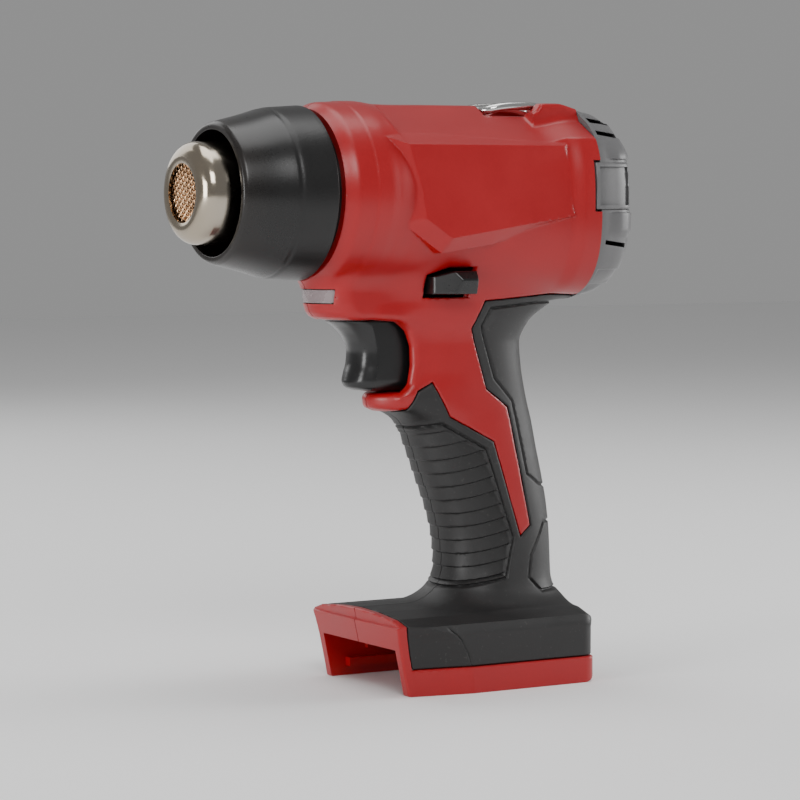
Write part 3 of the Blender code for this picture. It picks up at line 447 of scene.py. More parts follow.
class Shade:
    """A socket of one material's nodes. Arithmetic on it adds maths nodes; node() adds any other."""

    def __init__(self, tree, socket):
        self.tree, self.socket = tree, socket

    def node(self, kind, inputs, output=0, **settings):
        made = self.tree.nodes.new(kind)
        for key, value in settings.items():
            setattr(made, key, value)
        for key, value in inputs.items():
            if isinstance(value, Shade):
                self.tree.links.new(value.socket, made.inputs[key])
            else:
                made.inputs[key].default_value = value
        return Shade(self.tree, made.outputs[output])

    def maths(self, operation, a, b):
        return self.node("ShaderNodeMath", {0: a, 1: b}, operation=operation)

    def __add__(self, other):
        return self.maths("ADD", self, other)

    def __radd__(self, other):
        return self.maths("ADD", other, self)

    def __sub__(self, other):
        return self.maths("SUBTRACT", self, other)

    def __rsub__(self, other):
        return self.maths("SUBTRACT", other, self)

    def __mul__(self, other):
        return self.maths("MULTIPLY", self, other)

    def __rmul__(self, other):
        return self.maths("MULTIPLY", other, self)

    def noise(self, scale, detail=3.0, rough=0.55):
        sockets = {"Vector": self, "Scale": scale, "Detail": detail, "Roughness": rough}
        return self.node("ShaderNodeTexNoise", sockets)

    def along_x(self):
        """The X of a place, in millimetres."""
        return self.node("ShaderNodeSeparateXYZ", {0: self}) * 1000

    def ramp(self, low, high, to_low=0.0, to_high=1.0):
        return self.node("ShaderNodeMapRange", {0: self, 1: low, 2: high, 3: to_low, 4: to_high})

    def blend(self, a, b):
        return self.node("ShaderNodeMix", {0: self, 6: a, 7: b}, output=2, data_type="RGBA")


def finish_of(
    name, base, rough, metallic=0.0, grain=0.0, grain_scale=2200, mottle=0.08, coat=0.0, extra=None
):
    """A procedural finish: a base colour that drifts over centimetres, fine speckle, roughness that
    wanders, and a moulded grain as bump. extra may change the colour, roughness and grain."""
    made = bpy.data.materials.new(name)
    made.use_nodes = True
    tree = made.node_tree
    shader = tree.nodes["Principled BSDF"]
    place = Shade(tree, tree.nodes.new("ShaderNodeTexCoord").outputs["Object"])
    wide, fine = place.noise(45.0), place.noise(1400.0, 2.0)
    dark = tuple(c * (1 - 2 * mottle) for c in base) + (1,)
    light = tuple(min(1, c * (1 + mottle) + 0.012 * mottle) for c in base) + (1,)
    colour = (wide * 0.6 + fine * 0.4).ramp(0.3, 0.7).blend(dark, light)
    roughness = rough + (wide - 0.5) * 0.14 + (fine - 0.5) * 0.10
    height = place.noise(grain_scale, 3.0)
    if extra is not None:
        colour, roughness, height = extra(place, colour, roughness, height)
    tree.links.new(colour.socket, shader.inputs["Base Color"])
    tree.links.new(roughness.socket, shader.inputs["Roughness"])
    shader.inputs["Metallic"].default_value = metallic
    shader.inputs["Coat Weight"].default_value = coat
    shader.inputs["Coat Roughness"].default_value = 0.22
    if grain:
        bump = place.node("ShaderNodeBump", {"Strength": grain, "Distance": 0.0001, "Height": height})
        tree.links.new(bump.socket, shader.inputs["Normal"])
    return made


def under_the_grip(x, y, z):
    """True on a shell's inner faces and on the faces that the grip covers, away from openings."""
    deep = outer_body(x, y, z) < -1.7
    out = np.abs(y)
    mouth = (out < 10.5) & (z > 100) & (z < 127) & (x < 13)
    below = (z < 17) & (out < 25) & (x < 54)
    side = (out > 17) & (np.abs(z - 138.7) < 6.5) & (np.abs(x - 9.8) < 10)
    top = (z > 194) & (np.abs(x - 44.6) < 17) & (out < 12.5)
    return deep & ~(mouth | below | side | top | (out < 0.5))


red_plastic = finish_of("red_plastic", RED, 0.36, grain=0.25, grain_scale=2600, mottle=0.05, coat=0.12)
SHELL_STEP = 0.6
SHELL_LOW, SHELL_HIGH = (-38, -34.3, -2.0), (65, 1.4, 200.6)


def housing_with_wells(x, y, z):
    """The far shell, before it is mirrored: the same field with the screw wells."""
    return np.maximum(housing(x, y, z), -screw_wells(x, y, z))


for side, field, turn in (("left", housing, 1), ("right", housing_with_wells, -1)):
    points, faces = skin(field, SHELL_LOW, SHELL_HIGH, SHELL_STEP, under_the_grip)
    mirrored = points * (1, turn, 1), faces[:, ::turn]
    shell = mesh_piece(f"housing_shell_{side}", *mirrored, red_plastic)
    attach(shell, "housing")
    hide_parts(f"housing_{side}")


# ---------------------------------------------------------------- grips
# Soft black elastomer moulded over each shell round the handle and the foot, standing flush with the
# red at its edges. The palm side carries a raised panel of overlapping ribs, the back a plain inlay.
RUBBER = (0.0120, 0.0115, 0.0115)
RIBBED = (
    (-20.0, 86.5), (-6.5, 86.5), (10.5, 89.5), (26.5, 80.5), (37.0, 50.0), (34.0, 36.5),
    (14.0, 33.0), (-20.0, 33.0),
)
RIB_PITCH, RIB_DEPTH, RIB_START, RIB_SAG = 4.65, 0.95, 30.7, 5.0
REAR_INLAY = (
    (75, 131), (47, 131), (27.5, 129.3), (24.5, 123.3), (30.5, 105), (38.5, 97), (44.0, 71.5),
    (49.5, 68), (75, 62),
)
HEEL_INLAY = ((75, 54.5), (51.5, 54.5), (45.0, 43.5), (43.8, 35.5), (48.5, 31.0), (75, 31.0))


def groove(distance, width, depth):
    """A rounded furrow: the depth at the line, falling to nothing at the width."""
    return depth * rise(1 - np.abs(distance) / width)


def grip(x, y, z):
    """Distance to a grip half: the layer between the body's outside and its depth, within the
    side outline, with the ribs' saw-tooth, the inlays' furrows and the foot's side let in."""
    body = outer_body(x, y, z)
    ribbed = to_sides(x, z, RIBBED)
    back_from = x - between(z, HANDLE_FRONT)
    height = z - RIB_SAG * np.clip(back_from / 24, 0, 1.2) ** 1.3
    phase = (height - RIB_START) / RIB_PITCH
    phase = phase - np.floor(phase)
    tooth = 1 - phase + rise((phase - 0.86) / 0.14) * phase
    cut = RIB_DEPTH * (1 - tooth) * (0.55 + 0.45 * rise(back_from / 20))
    outside = body + rise(-ribbed / 1.2) * (0.25 + cut)
    outside = outside + groove(ribbed - 0.5, 0.8, 0.7)
    for inlay in (REAR_INLAY, HEEL_INLAY):
        outside = outside + groove(to_sides(x, z, inlay), 0.8, 0.65)
    outside = outside + 0.45 * rise((22 - z) / 3) * rise((np.abs(y) - 26) / 4)
    facet = groove(between(z, FACET_EDGE) - x, 0.7, 0.35)
    outside = outside + facet * rise((23.5 - z) / 2) * rise((np.abs(y) - 24) / 4)
    layer = common(outside, to_sides(x, z, GRIP_SIDE) + 0.3, 0.7)
    inner = -(body + GRIP_DEPTH - 0.3)
    return all_of(layer, inner, y + SPLIT, -box(x, y, z, *TRIGGER_MOUTH))


def behind_the_grip(x, y, z):
    """True on the grip's inner face."""
    within = to_sides(x, z, GRIP_SIDE) < -1.5
    return (outer_body(x, y, z) < -1.55) & within & (np.abs(y) > 0.5)


def rubber_wear(place, colour, roughness, height):
    """Handling has polished patches and left a little pale dust in the surface."""
    worn = place.noise(28.0, 4.0, 0.6).ramp(0.48, 0.72)
    dust = place.noise(900.0, 1.0).ramp(0.66, 0.76)
    colour = (dust * 0.10).blend(colour, (0.20, 0.19, 0.18, 1))
    return colour, roughness - worn * 0.09 + dust * 0.05, height


rubber = finish_of("rubber", RUBBER, 0.52, grain=0.5, grain_scale=3200, mottle=0.10, extra=rubber_wear)
GRIP_LOW, GRIP_HIGH = (-17, -34.3, 6.5), (64, 1.4, 137)
GRIP_STEP = 0.5


def grip_with_wells(x, y, z):
    """The far half, before it is mirrored, with the screw wells running through it."""
    return np.maximum(grip(x, y, z), -screw_wells(x, y, z))


for side, field, turn in (("left", grip, 1), ("right", grip_with_wells, -1)):
    points, faces = skin(field, GRIP_LOW, GRIP_HIGH, GRIP_STEP, behind_the_grip)
    mirrored = points * (1, turn, 1), faces[:, ::turn]
    half_grip = mesh_piece(f"grip_skin_{side}", *mirrored, rubber)
    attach(half_grip, "housing")
    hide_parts(f"grip_{side}")


# ---------------------------------------------------------------- heat shield
# A black heat-resistant collar, turned in shape and pushed onto the barrel's front. Its rear band
# has a leathery moulded grain, and its front cone is smoother, ending in a thin bright rim.
SHIELD_PROFILE = (
    (-38.9, 29.3, 0.35), (-50.8, 28.5, 0.9), (-52.0, 28.1, 0.5), (-53.0, 28.05, 0.4),
    (-59.5, 26.1, 5.0), (-69.6, 23.65, 0.4), (-70.9, 22.7, 0.5), (-70.9, 20.9, 0.35),
    (-58.0, 23.9, 3.0), (-50.0, 23.4, 1.0), (-30.0, 23.4, 0.2), (-30.0, 25.6, 0.2),
    (-42.5, 25.6, 0.4), (-43.4, 26.8, 0.4), (-38.9, 27.4, 0.3),
)
AXIS_HEIGHT = 168.5


def filleted(corners, steps=5):
    """A closed profile from (along, out, radius) corners. Each is replaced by a parabola that leaves
    its two sides at the radius, or at nearly half a side if that is shorter."""
    at = np.array([c[:2] for c in corners], float)
    sizes = np.array([c[2] for c in corners], float)
    made = []
    for i, corner in enumerate(at):
        before, after = at[i - 1] - corner, at[(i + 1) % len(at)] - corner
        lengths = np.linalg.norm(before), np.linalg.norm(after)
        reach = min(sizes[i], 0.49 * lengths[0], 0.49 * lengths[1])
        a, b = corner + before / lengths[0] * reach, corner + after / lengths[1] * reach
        t = np.linspace(0, 1, steps)[:, None]
        made.append((1 - t) ** 2 * a + 2 * t * (1 - t) * corner + t**2 * b)
    return np.concatenate(made)


def woven_faces(rows, columns, wrap_rows=True, wrap_columns=True):
    """Quads of a grid of points numbered row by row, joined round either way if asked."""
    r = np.arange(rows if wrap_rows else rows - 1)[:, None]
    c = np.arange(columns if wrap_columns else columns - 1)[None, :]
    r2, c2 = (r + 1) % rows, (c + 1) % columns
    corners = (r * columns + c, r * columns + c2, r2 * columns + c2, r2 * columns + c)
    return np.stack([corner.ravel() for corner in corners], 1)


def outward(vertices, faces):
    """The faces, turned round if the volume they enclose comes out negative: the sum over them of
    a . (b x c), for corners a, b and c."""
    a, b, c = (vertices[faces[:, k]] for k in (0, 1, 2))
    volume = (a * np.cross(b, c)).sum()
    if faces.shape[1] == 4:
        volume += (a * np.cross(c, vertices[faces[:, 3]])).sum()
    return faces if volume > 0 else faces[:, ::-1]


def revolved(profile, steps=144):
    """A closed profile of (x, radius) carried round the barrel's axis: y is the radius times the
    sine of the turn, and z the axis height plus the radius times its cosine."""
    turn = np.linspace(0, 2 * np.pi, steps, endpoint=False)
    x = np.repeat(profile[:, 0], steps)
    radius = np.repeat(profile[:, 1], steps)
    angle = np.tile(turn, len(profile))
    vertices = np.stack([x, radius * np.sin(angle), AXIS_HEIGHT + radius * np.cos(angle)], 1)
    return vertices, outward(vertices, woven_faces(len(profile), steps))


def subdivided(profile, longest):
    """The closed profile with its long sides cut so that no gap is over the longest."""
    made = []
    for i, a in enumerate(profile):
        b = profile[(i + 1) % len(profile)]
        parts = max(1, math.ceil(np.linalg.norm(b - a) / longest))
        made.append(a + (b - a) * np.linspace(0, 1, parts, endpoint=False)[:, None])
    return np.concatenate(made)


def shield_grain(place, colour, roughness, height):
    """Coarse leathery cells on the rear band only, and a faint bronzing by heat towards the mouth."""
    along = place.along_x()
    rear_band = along.ramp(-53.2, -52.4)
    sockets = {"Vector": place, "Scale": 1700.0}
    cells = place.node("ShaderNodeTexVoronoi", sockets, feature="SMOOTH_F1")
    heat = along.ramp(-60.0, -72.0) * place.noise(60.0)
    colour = (heat * 0.30).blend(colour, (0.045, 0.030, 0.022, 1))
    return colour, roughness + rear_band * 0.07 - 0.03, height * 0.3 + cells * rear_band * 1.6


SHIELD_BLACK = (0.0045, 0.0042, 0.0042)
shield_black = finish_of("shield_black", SHIELD_BLACK, 0.32, grain=0.18, mottle=0.12, extra=shield_grain)
shield_points, shield_faces = revolved(subdivided(filleted(SHIELD_PROFILE), 2.0))
shield = mesh_piece("heat_shield_collar", shield_points, shield_faces, shield_black, 50)
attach(shield, "housing")
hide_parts("heat_shield")


# ---------------------------------------------------------------- nozzle
# A drawn tube of stainless steel, polished, whose mouth is rolled inwards to a thick round lip. Heat
# has tinted it straw. It is clamped by a flange inside the barrel.
TUBE_RADIUS, STEEL_SHEET, FLANGE_RADIUS = 17.0, 0.9, 19.5
LIP_CENTRE, LIP_RADIUS = np.array((-76.42, 11.5)), 5.5


def rolled(radius, start, end, count):
    """An arc of the rolled lip, between two angles in degrees from the +X direction."""
    angle = np.radians(np.linspace(start, end, count))[:, None]
    return LIP_CENTRE + radius * np.concatenate([np.cos(angle), np.sin(angle)], 1)


nozzle_profile = np.concatenate([
    [(-10, FLANGE_RADIUS), (-11, FLANGE_RADIUS)],
    [(x, TUBE_RADIUS) for x in (-11.1, -30, -50, -70)],
    rolled(LIP_RADIUS, 90, 198, 26),
    rolled(LIP_RADIUS - STEEL_SHEET, 200, 90, 22),
    [(x, TUBE_RADIUS - STEEL_SHEET) for x in (-70, -50, -10)],
])


def drawn_steel(place, colour, roughness, height):
    """Fine turning lines round the axis, straw and brown heat tint near the mouth, a few smudges."""
    along = place.along_x()
    sockets = {"W": along * 9.0, "Scale": 1.0, "Detail": 2.0}
    lines = along.node("ShaderNodeTexNoise", sockets, noise_dimensions="1D")
    tint = along.ramp(-66.0, -82.0) * (place.noise(55.0) * 0.8 + 0.3)
    colour = (tint * 0.75).blend(colour, (0.42, 0.33, 0.22, 1))
    smudge = place.noise(120.0, 5.0).ramp(0.5, 0.75)
    return colour, roughness + smudge * 0.10 + lines * 0.05, height * 0.15 + lines * 0.5


STEEL = (0.46, 0.43, 0.38)
polished_steel = finish_of(
    "polished_steel", STEEL, 0.12, metallic=1.0, grain=0.10, mottle=0.03, extra=drawn_steel
)
nozzle_points, nozzle_faces = revolved(subdivided(nozzle_profile, 6.0))
nozzle = mesh_piece("steel_nozzle", nozzle_points, nozzle_faces, polished_steel, 45)
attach(nozzle, "housing")
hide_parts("nozzle")


# ---------------------------------------------------------------- outlet screen
# Plain-woven copper-bronze wire cloth, cut round and domed a little towards the mouth, that keeps
# fingers and swarf from the heating coil. Its edge is held in a thin wire hoop.
CLOTH_RADIUS, WIRE_PITCH, WIRE_RADIUS, CLOTH_X = 13.0, 1.50, 0.31, -79.9
WIRES_EACH_SIDE, CLOTH_DOME, CLOTH_SLANT = 9, 1.2, math.radians(12)


def capped_tube(rows, sides):
    """Triangles of a tube whose rings are numbered row by row, with a fan at each end to one of the
    two points that follow the rings."""
    quads = woven_faces(rows, sides, wrap_rows=False)
    j = np.arange(sides)
    last = (rows - 1) * sides
    start = np.stack([np.full(sides, last + sides), j, (j + 1) % sides], 1)
    end = np.stack([np.full(sides, last + sides + 1), last + (j + 1) % sides, last + j], 1)
    return np.concatenate([quads[:, [0, 2, 1]], quads[:, [0, 3, 2]], start, end])


def wires(lines, radius, sides=6):
    """Round wires along an array of paths (wire, point, xyz), each closed by a flat fan at its ends.
    The ring at a point lies across the path: one direction is square to both path and X."""
    tangent = np.gradient(lines, axis=1)
    tangent /= np.linalg.norm(tangent, axis=2, keepdims=True)
    side = np.cross(tangent, (1.0, 0, 0))
    side /= np.linalg.norm(side, axis=2, keepdims=True)
    upward = np.cross(side, tangent)
    angle = np.linspace(0, 2 * np.pi, sides, endpoint=False)[:, None]
    ring = np.cos(angle) * side[:, :, None] + np.sin(angle) * upward[:, :, None]
    ring = lines[:, :, None] + radius * ring
    count, length = lines.shape[:2]
    vertices = np.concatenate([ring.reshape(count, -1, 3), lines[:, [0, -1]]], 1)
    first = np.arange(count)[:, None, None] * vertices.shape[1]
    faces = (capped_tube(length, sides) + first).reshape(-1, 3)
    vertices = vertices.reshape(-1, 3)
    return vertices, outward(vertices, faces)


def cloth_lines(first_phase):
    """Wires along one direction: each waves by its radius over and under the crossing ones, as the
    sine of half a turn a pitch, on a dome that falls with the square of the distance out."""
    offsets = np.arange(-WIRES_EACH_SIDE, WIRES_EACH_SIDE + 1) * WIRE_PITCH
    t = np.linspace(-1, 1, 97)[None, :]
    along = t * np.sqrt(CLOTH_RADIUS**2 - offsets**2)[:, None]
    across = np.broadcast_to(offsets[:, None], along.shape)
    parity = np.arange(len(offsets))[:, None]
    wave = WIRE_RADIUS * 0.95 * np.cos(np.pi * (along / WIRE_PITCH + parity + first_phase))
    dome = CLOTH_DOME * (along**2 + across**2) / CLOTH_RADIUS**2
    return along, across, CLOTH_X + dome + wave


warp_along, warp_across, warp_x = cloth_lines(0.0)
weft_along, weft_across, weft_x = cloth_lines(1.0)


def turned_cloth(x, u, v):
    """Points of the cloth, with its weave turned by the slant about the barrel's axis."""
    cos, sin = math.cos(CLOTH_SLANT), math.sin(CLOTH_SLANT)
    return np.stack([x, u * cos - v * sin, AXIS_HEIGHT + u * sin + v * cos], -1)


cloth_points, cloth_faces = wires(np.concatenate([
    turned_cloth(warp_x, warp_along, warp_across), turned_cloth(weft_x, weft_across, weft_along),
]), WIRE_RADIUS)
hoop = filleted([(-79.0, 14.4, 0.3), (-78.0, 14.4, 0.3), (-77.8, 12.8, 0.3), (-78.8, 12.4, 0.3)], 4)
hoop_points, hoop_faces = revolved(hoop, 96)
hoop_faces = np.concatenate([hoop_faces[:, [0, 1, 2]], hoop_faces[:, [0, 2, 3]]]) + len(cloth_points)
cloth_points = np.concatenate([cloth_points, hoop_points])
cloth_faces = np.concatenate([cloth_faces, hoop_faces])


def wire_tarnish(place, colour, roughness, height):
    """Copper browned unevenly by heat."""
    brown = place.noise(260.0).ramp(0.42, 0.62)
    colour = (brown * 0.6).blend(colour, (0.30, 0.16, 0.08, 1))
    return colour, roughness + brown * 0.12, height


copper = finish_of("copper_mesh", (0.82, 0.52, 0.30), 0.28, metallic=1.0, extra=wire_tarnish)
cloth = mesh_piece("outlet_cloth", cloth_points, cloth_faces, copper, 60)
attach(cloth, "housing")
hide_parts("outlet_screen")


# ---------------------------------------------------------------- rear cap
# A grey moulded cap that closes the barrel's rear and lets the fan's air in through slots. On each
# side a framed block stands forward into a notch of the red shells, between two proud lands.
CAP_GREY = (0.118, 0.117, 0.119)
CAP_CENTRE, CAP_SQUARENESS = 165.0, 2.8
CAP_HALF_WIDTH = (
    (60.5, 33.0), (63.1, 33.0), (70, 32.2), (74, 31.2), (77, 29.2), (80.5, 24), (82, 18),
)
CAP_HALF_HEIGHT = (
    (60.5, 33.5), (63.1, 33.5), (70, 32.7), (74, 31.6), (77, 29.8), (80.5, 24.6), (82, 18.6),
)
CAP_FRONT, CAP_REAR, CAP_FLARE, CAP_LEDGE = 63.1, 81.9, 1.3, 0.75
BLOCK_SPAN, BLOCK_HEIGHT = (60.6, 76.6), (162.9, 179.3)
LAND_LOW, LAND_HIGH, SECOND_LEDGE = 162, 180.2, 0.5
SIDE_SLOTS, SIDE_SLOT_DEPTH, SIDE_SLOT_LEAN = (188.9, 193.4, 151.2), 9.0, 0.12
REAR_SLOT_ROWS, REAR_SLOT_PITCH, REAR_SLOT_HALF = range(-2, 3), 4.2, 1.0


def cap_block_side(grow=0.0):
    """The side outline of the block, grown by an amount except at its rear."""
    (front, rear), (low, high) = BLOCK_SPAN, BLOCK_HEIGHT
    return [
        (front - grow, low - grow), (rear, low - grow), (rear, high + grow), (front - grow, high + grow),
    ]


def cap(x, y, z):
    """The cap: superellipse sections closing to the flat rear, hollow, stepped round the side block,
    with air slots, a spigot and the rear slots."""
    size = between(x, CAP_HALF_WIDTH), between(x, CAP_HALF_HEIGHT)
    form = common(superellipse(y, z - CAP_CENTRE, *size, CAP_SQUARENESS), x - CAP_REAR, 1.2)
    flare = CAP_FLARE * rise((x - 66) / 6)
    upper = flare * rise((z - LAND_HIGH) / 0.25) * rise((187.5 - z) / 6)
    lower = flare * rise((LAND_LOW - z) / 0.25) * rise((z - 153.0) / 3)
    sides = 0.9 * rise((np.abs(y) - 16) / 4)
    off = np.abs(z - CAP_CENTRE)
    ledges = CAP_LEDGE * rise((off - 22.5) / 0.3) * rise((31.5 - off) / 3)
    ledges = ledges + SECOND_LEDGE * rise((off - 27.6) / 0.3)
    stepped = form + sides * (1 - upper - lower) + ledges * rise(x - 64.6)
    body = np.maximum(stepped, CAP_FRONT - x)
    rim, side = to_sides(x, z, cap_block_side(-0.7)), to_sides(x, z, cap_block_side())
    ridge = all_of(common(rim - 0.7, form + 0.15, 0.8), 28 - np.abs(y), -(rim + 0.9))
    block = all_of(side, form + 1.15, 26 - np.abs(y))
    tab = common(np.minimum(block, ridge), side, 0.6)
    body = np.minimum(np.maximum(body, -np.maximum(side, 24 - np.abs(y))), tab)
    spigot = all_of(form + 3.1, -(form + 4.6), 61.2 - x, x - 66)
    inner = all_of(form + 3.2, x - 79.6, 62 - x)
    body = np.maximum(np.minimum(body, spigot), -np.maximum(inner, -spigot))
    slots, rear = 1e9, 1e9
    for height in SIDE_SLOTS:
        across = np.abs(z - height + SIDE_SLOT_LEAN * (x - 70)) - 0.75
        slots = np.minimum(slots, np.maximum(across, np.abs(x - 70.4) - 5.0))
    slots = all_of(slots, -(form + SIDE_SLOT_DEPTH), 6 - np.abs(y))
    for row in REAR_SLOT_ROWS:
        rear = np.minimum(rear, np.abs(z - CAP_CENTRE - REAR_SLOT_PITCH * row) - REAR_SLOT_HALF)
    rear = all_of(rear, np.abs(np.abs(y) - 8.2) - 6.2, 78 - x)
    return all_of(body, -slots, -rear)


def cap_wear(place, colour, roughness, height):
    """Scuffs paler than the plastic, and a little dust."""
    scuff = place.noise(70.0, 6.0, 0.7).ramp(0.60, 0.72)
    colour = (scuff * 0.12).blend(colour, (0.33, 0.32, 0.32, 1))
    return colour, roughness + scuff * 0.06, height


cap_grey = finish_of(
    "cap_grey", CAP_GREY, 0.42, grain=0.3, grain_scale=3000, mottle=0.05, coat=0.05, extra=cap_wear
)
CAP_STEP = 0.5
cap_points, cap_faces = skin(cap, (58.6, -34.2, 130.4), (82.8, 34.2, 199.8), CAP_STEP)
cap_piece = mesh_piece("rear_cap_shell", cap_points, cap_faces, cap_grey)
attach(cap_piece, "housing")
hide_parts("rear_cap")


# ---------------------------------------------------------------- trigger
# A glossy black moulded trigger: the finger hooks round its hollow front, and its flat cheeks slide
# into the handle against the return spring.
TRIGGER_FRONT = (
    (101.3, -14.5), (101.9, -17.6), (103.2, -19.6), (105.2, -20.4), (107.6, -19.9), (111.0, -18.9),
    (114.5, -18.6), (117.5, -19.2), (120.5, -20.9), (123.2, -23.6), (125.6, -27.4),
)
TRIGGER_HALF, TRIGGER_AXIS_Z, TRIGGER_BOW = 9.3, 113.0, 5.0
TRIGGER_LOW, TRIGGER_TOP, TRIGGER_REAR = 101.4, 125.4, 2.0
DISH_DEPTH, DISH_HALF, FLANK_STEP = 0.55, 7.5, 1.9
SPRING_POCKET, POCKET_FRONT, STEM_RADIUS, STEM_END = 4.1, -4.5, 1.8, 12.5


def trigger_form(x, y, z):
    """Distance to the trigger: its side outline, rounded towards the flanks, dished across the
    front where the finger rests, with the flanks behind x = -11 set in a step. A stem for the
    switch stands in a round pocket at the back, which takes the return spring at full pull."""
    bow = TRIGGER_BOW * (y / TRIGGER_HALF) ** 2
    side = common((between(z, TRIGGER_FRONT) + bow - x) * 0.85, TRIGGER_LOW - z, 2.0)
    dish = rise(1 - (np.abs(y) / DISH_HALF) ** 2) * rise((-12 - x) / 6) * rise((z - 103) / 3)
    narrow = FLANK_STEP * rise((x + 12.5 + (z - 112) ** 2 / 60) / 0.5)
    key = common(side + DISH_DEPTH * dish, np.abs(y) - TRIGGER_HALF + narrow, 4.2)
    from_axis = np.hypot(y, z - TRIGGER_AXIS_Z)
    pocket = np.maximum(from_axis - SPRING_POCKET, POCKET_FRONT - x)
    stem = all_of(from_axis - STEM_RADIUS, x - STEM_END, POCKET_FRONT - 1 - x)
    return np.minimum(all_of(common(key, z - TRIGGER_TOP, 0.3), x - TRIGGER_REAR, -pocket), stem)


TRIGGER_BLACK = (0.0050, 0.0050, 0.0053)
trigger_black = finish_of(
    "trigger_black", TRIGGER_BLACK, 0.30, grain=0.12, grain_scale=2600, mottle=0.12, coat=0.15
)
TRIGGER_STEP = 0.42
trigger_box = (-29, -10.4, 100), (13.4, 10.4, 127)
trigger_points, trigger_faces = skin(trigger_form, *trigger_box, TRIGGER_STEP)
trigger = mesh_piece("trigger_key", trigger_points, trigger_faces, trigger_black)
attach(trigger, "trigger")
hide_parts("trigger")


# ---------------------------------------------------------------- lock shuttle
# A black button pushed across the handle to lock the trigger. Each end is a faceted wedge with a
# ridge along it, that stands out of its slot and points rearwards.
SHUTTLE_SLIDE = ((2.6, 134.6), (16.9, 134.6), (16.9, 142.4), (8.6, 142.4), (2.6, 140.4))
SHUTTLE_REACH, SHUTTLE_RIDGE = 27.4, 139.4


def shuttle_form(x, y, z):
    """Distance to the shuttle: a bar across the handle whose ends are cut by sloping planes, two
    above and below the ridge, and two that fall away to the front and the rear."""
    past = np.abs(y) - SHUTTLE_REACH
    above = z - SHUTTLE_RIDGE
    slopes = common(past * 0.80 + above * 0.60, past * 0.93 - above * 0.36, 0.5)
    ends = common(past * 0.72 - (x - 10.2) * 0.69, past * 0.35 + (x - 16.2) * 0.94, 0.5)
    bar = common(to_sides(x, z, SHUTTLE_SLIDE), common(slopes, ends, 0.5), 0.6)
    return common(bar, past, 0.3)


SHUTTLE_STEP = 0.4
shuttle_box = (1, -28.6, 133), (18.5, 28.6, 144)
shuttle_points, shuttle_faces = skin(shuttle_form, *shuttle_box, SHUTTLE_STEP)
shuttle = mesh_piece("shuttle_button", shuttle_points, shuttle_faces, trigger_black, 30)
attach(shuttle, "shuttle")
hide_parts("lock_shuttle")


# ---------------------------------------------------------------- lamp lens
# A smoky translucent moulding under the barrel's front that wraps from the chin's face onto its
# flanks, lit from behind by a small board.
LENS_OUTLINE = ((-35.4, 136.2), (-34.7, 131.8), (-31.4, 131.8), (-31.9, 136.2))
LENS_CLEARANCE = 0.25


def lens_form(x, y, z):
    """Distance to the lens: the chin's bowed face between two heights, its ends slanted."""
    ends = np.abs(y) - LENS_HALF + LENS_CLEARANCE - LENS_SLANT * (z - LENS_MIDDLE)
    return common(to_sides(x - CHIN_BOW * y * y, z, LENS_OUTLINE), ends, 0.8)


lens_smoke = bpy.data.materials.new("lens_smoke")
lens_smoke.use_nodes = True
lens_tree = lens_smoke.node_tree
lens_shader = lens_tree.nodes["Principled BSDF"]
lens_place = Shade(lens_tree, lens_tree.nodes.new("ShaderNodeTexCoord").outputs["Object"])
lens_cloud = lens_place.noise(220.0).ramp(0.35, 0.65)
lens_colour = lens_cloud.blend((0.27, 0.20, 0.21, 1), (0.36, 0.28, 0.29, 1))
lens_rough = 0.22 + lens_cloud * 0.08
lens_tree.links.new(lens_colour.socket, lens_shader.inputs["Base Color"])
lens_tree.links.new(lens_rough.socket, lens_shader.inputs["Roughness"])
lens_shader.inputs["Transmission Weight"].default_value = 0.35
lens_shader.inputs["Coat Weight"].default_value = 0.4
LENS_STEP = 0.3
lens_points, lens_faces = skin(lens_form, (-36, -13, 130.8), (-24, 13, 137.2), LENS_STEP)
lens = mesh_piece("lamp_lens", lens_points, lens_faces, lens_smoke)
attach(lens, "housing")
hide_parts("led_lens")


# ---------------------------------------------------------------- hanging hook
# Plated spring wire bent to a flat bow, whose two ends snap into bores in the shells. It lies on
# the barrel's top and swings up rearwards to hang the tool.
HOOK_RADIUS = 1.5
hook_half = np.array([
    (59.0, 14.5, 196.8), (59.0, 12.6, 196.8), (59.0, 11.3, 196.8), (58.6, 10.3, 196.9), (57.6, 9.8, 197.2),
    (54.5, 9.7, 197.9), (51.0, 9.6, 198.3), (46.0, 9.6, 198.65), (41.0, 9.5, 198.5), (36.5, 9.2, 198.1),
    (33.6, 8.4, 197.5), (31.8, 6.9, 197.0), (30.7, 4.8, 196.8), (30.4, 2.4, 196.8), (30.3, 0.0, 196.8),
])
hook_path = np.concatenate([hook_half, hook_half[-2::-1] * (1, -1, 1)])
knots = np.linspace(0, 1, len(hook_path))
finer = np.linspace(0, 1, 260)
hook_smooth = [between(finer, np.stack([knots, hook_path[:, k]], 1)) for k in range(3)]
hook_smooth = np.stack(hook_smooth, 1)


def along_path(path, radius, sides=20):
    """A round wire on one path: the ring at each point is turned by the least amount from the one
    before it, and flat fans close the two ends."""
    tangent = np.gradient(path, axis=0)
    tangent /= np.linalg.norm(tangent, axis=1, keepdims=True)
    normals = np.zeros_like(path)
    normals[0] = np.cross(tangent[0], (0, 0.1, 1.0))
    normals[0] /= np.linalg.norm(normals[0])
    for i in range(1, len(path)):
        flat = normals[i - 1] - tangent[i] * (normals[i - 1] @ tangent[i])
        normals[i] = flat / np.linalg.norm(flat)
    across = np.cross(tangent, normals)
    angle = np.linspace(0, 2 * np.pi, sides, endpoint=False)[None, :, None]
    ring = np.cos(angle) * normals[:, None] + np.sin(angle) * across[:, None]
    ring = path[:, None] + radius * ring
    vertices = np.concatenate([ring.reshape(-1, 3), path[[0, -1]]])
    return vertices, outward(vertices, capped_tube(len(path), sides))


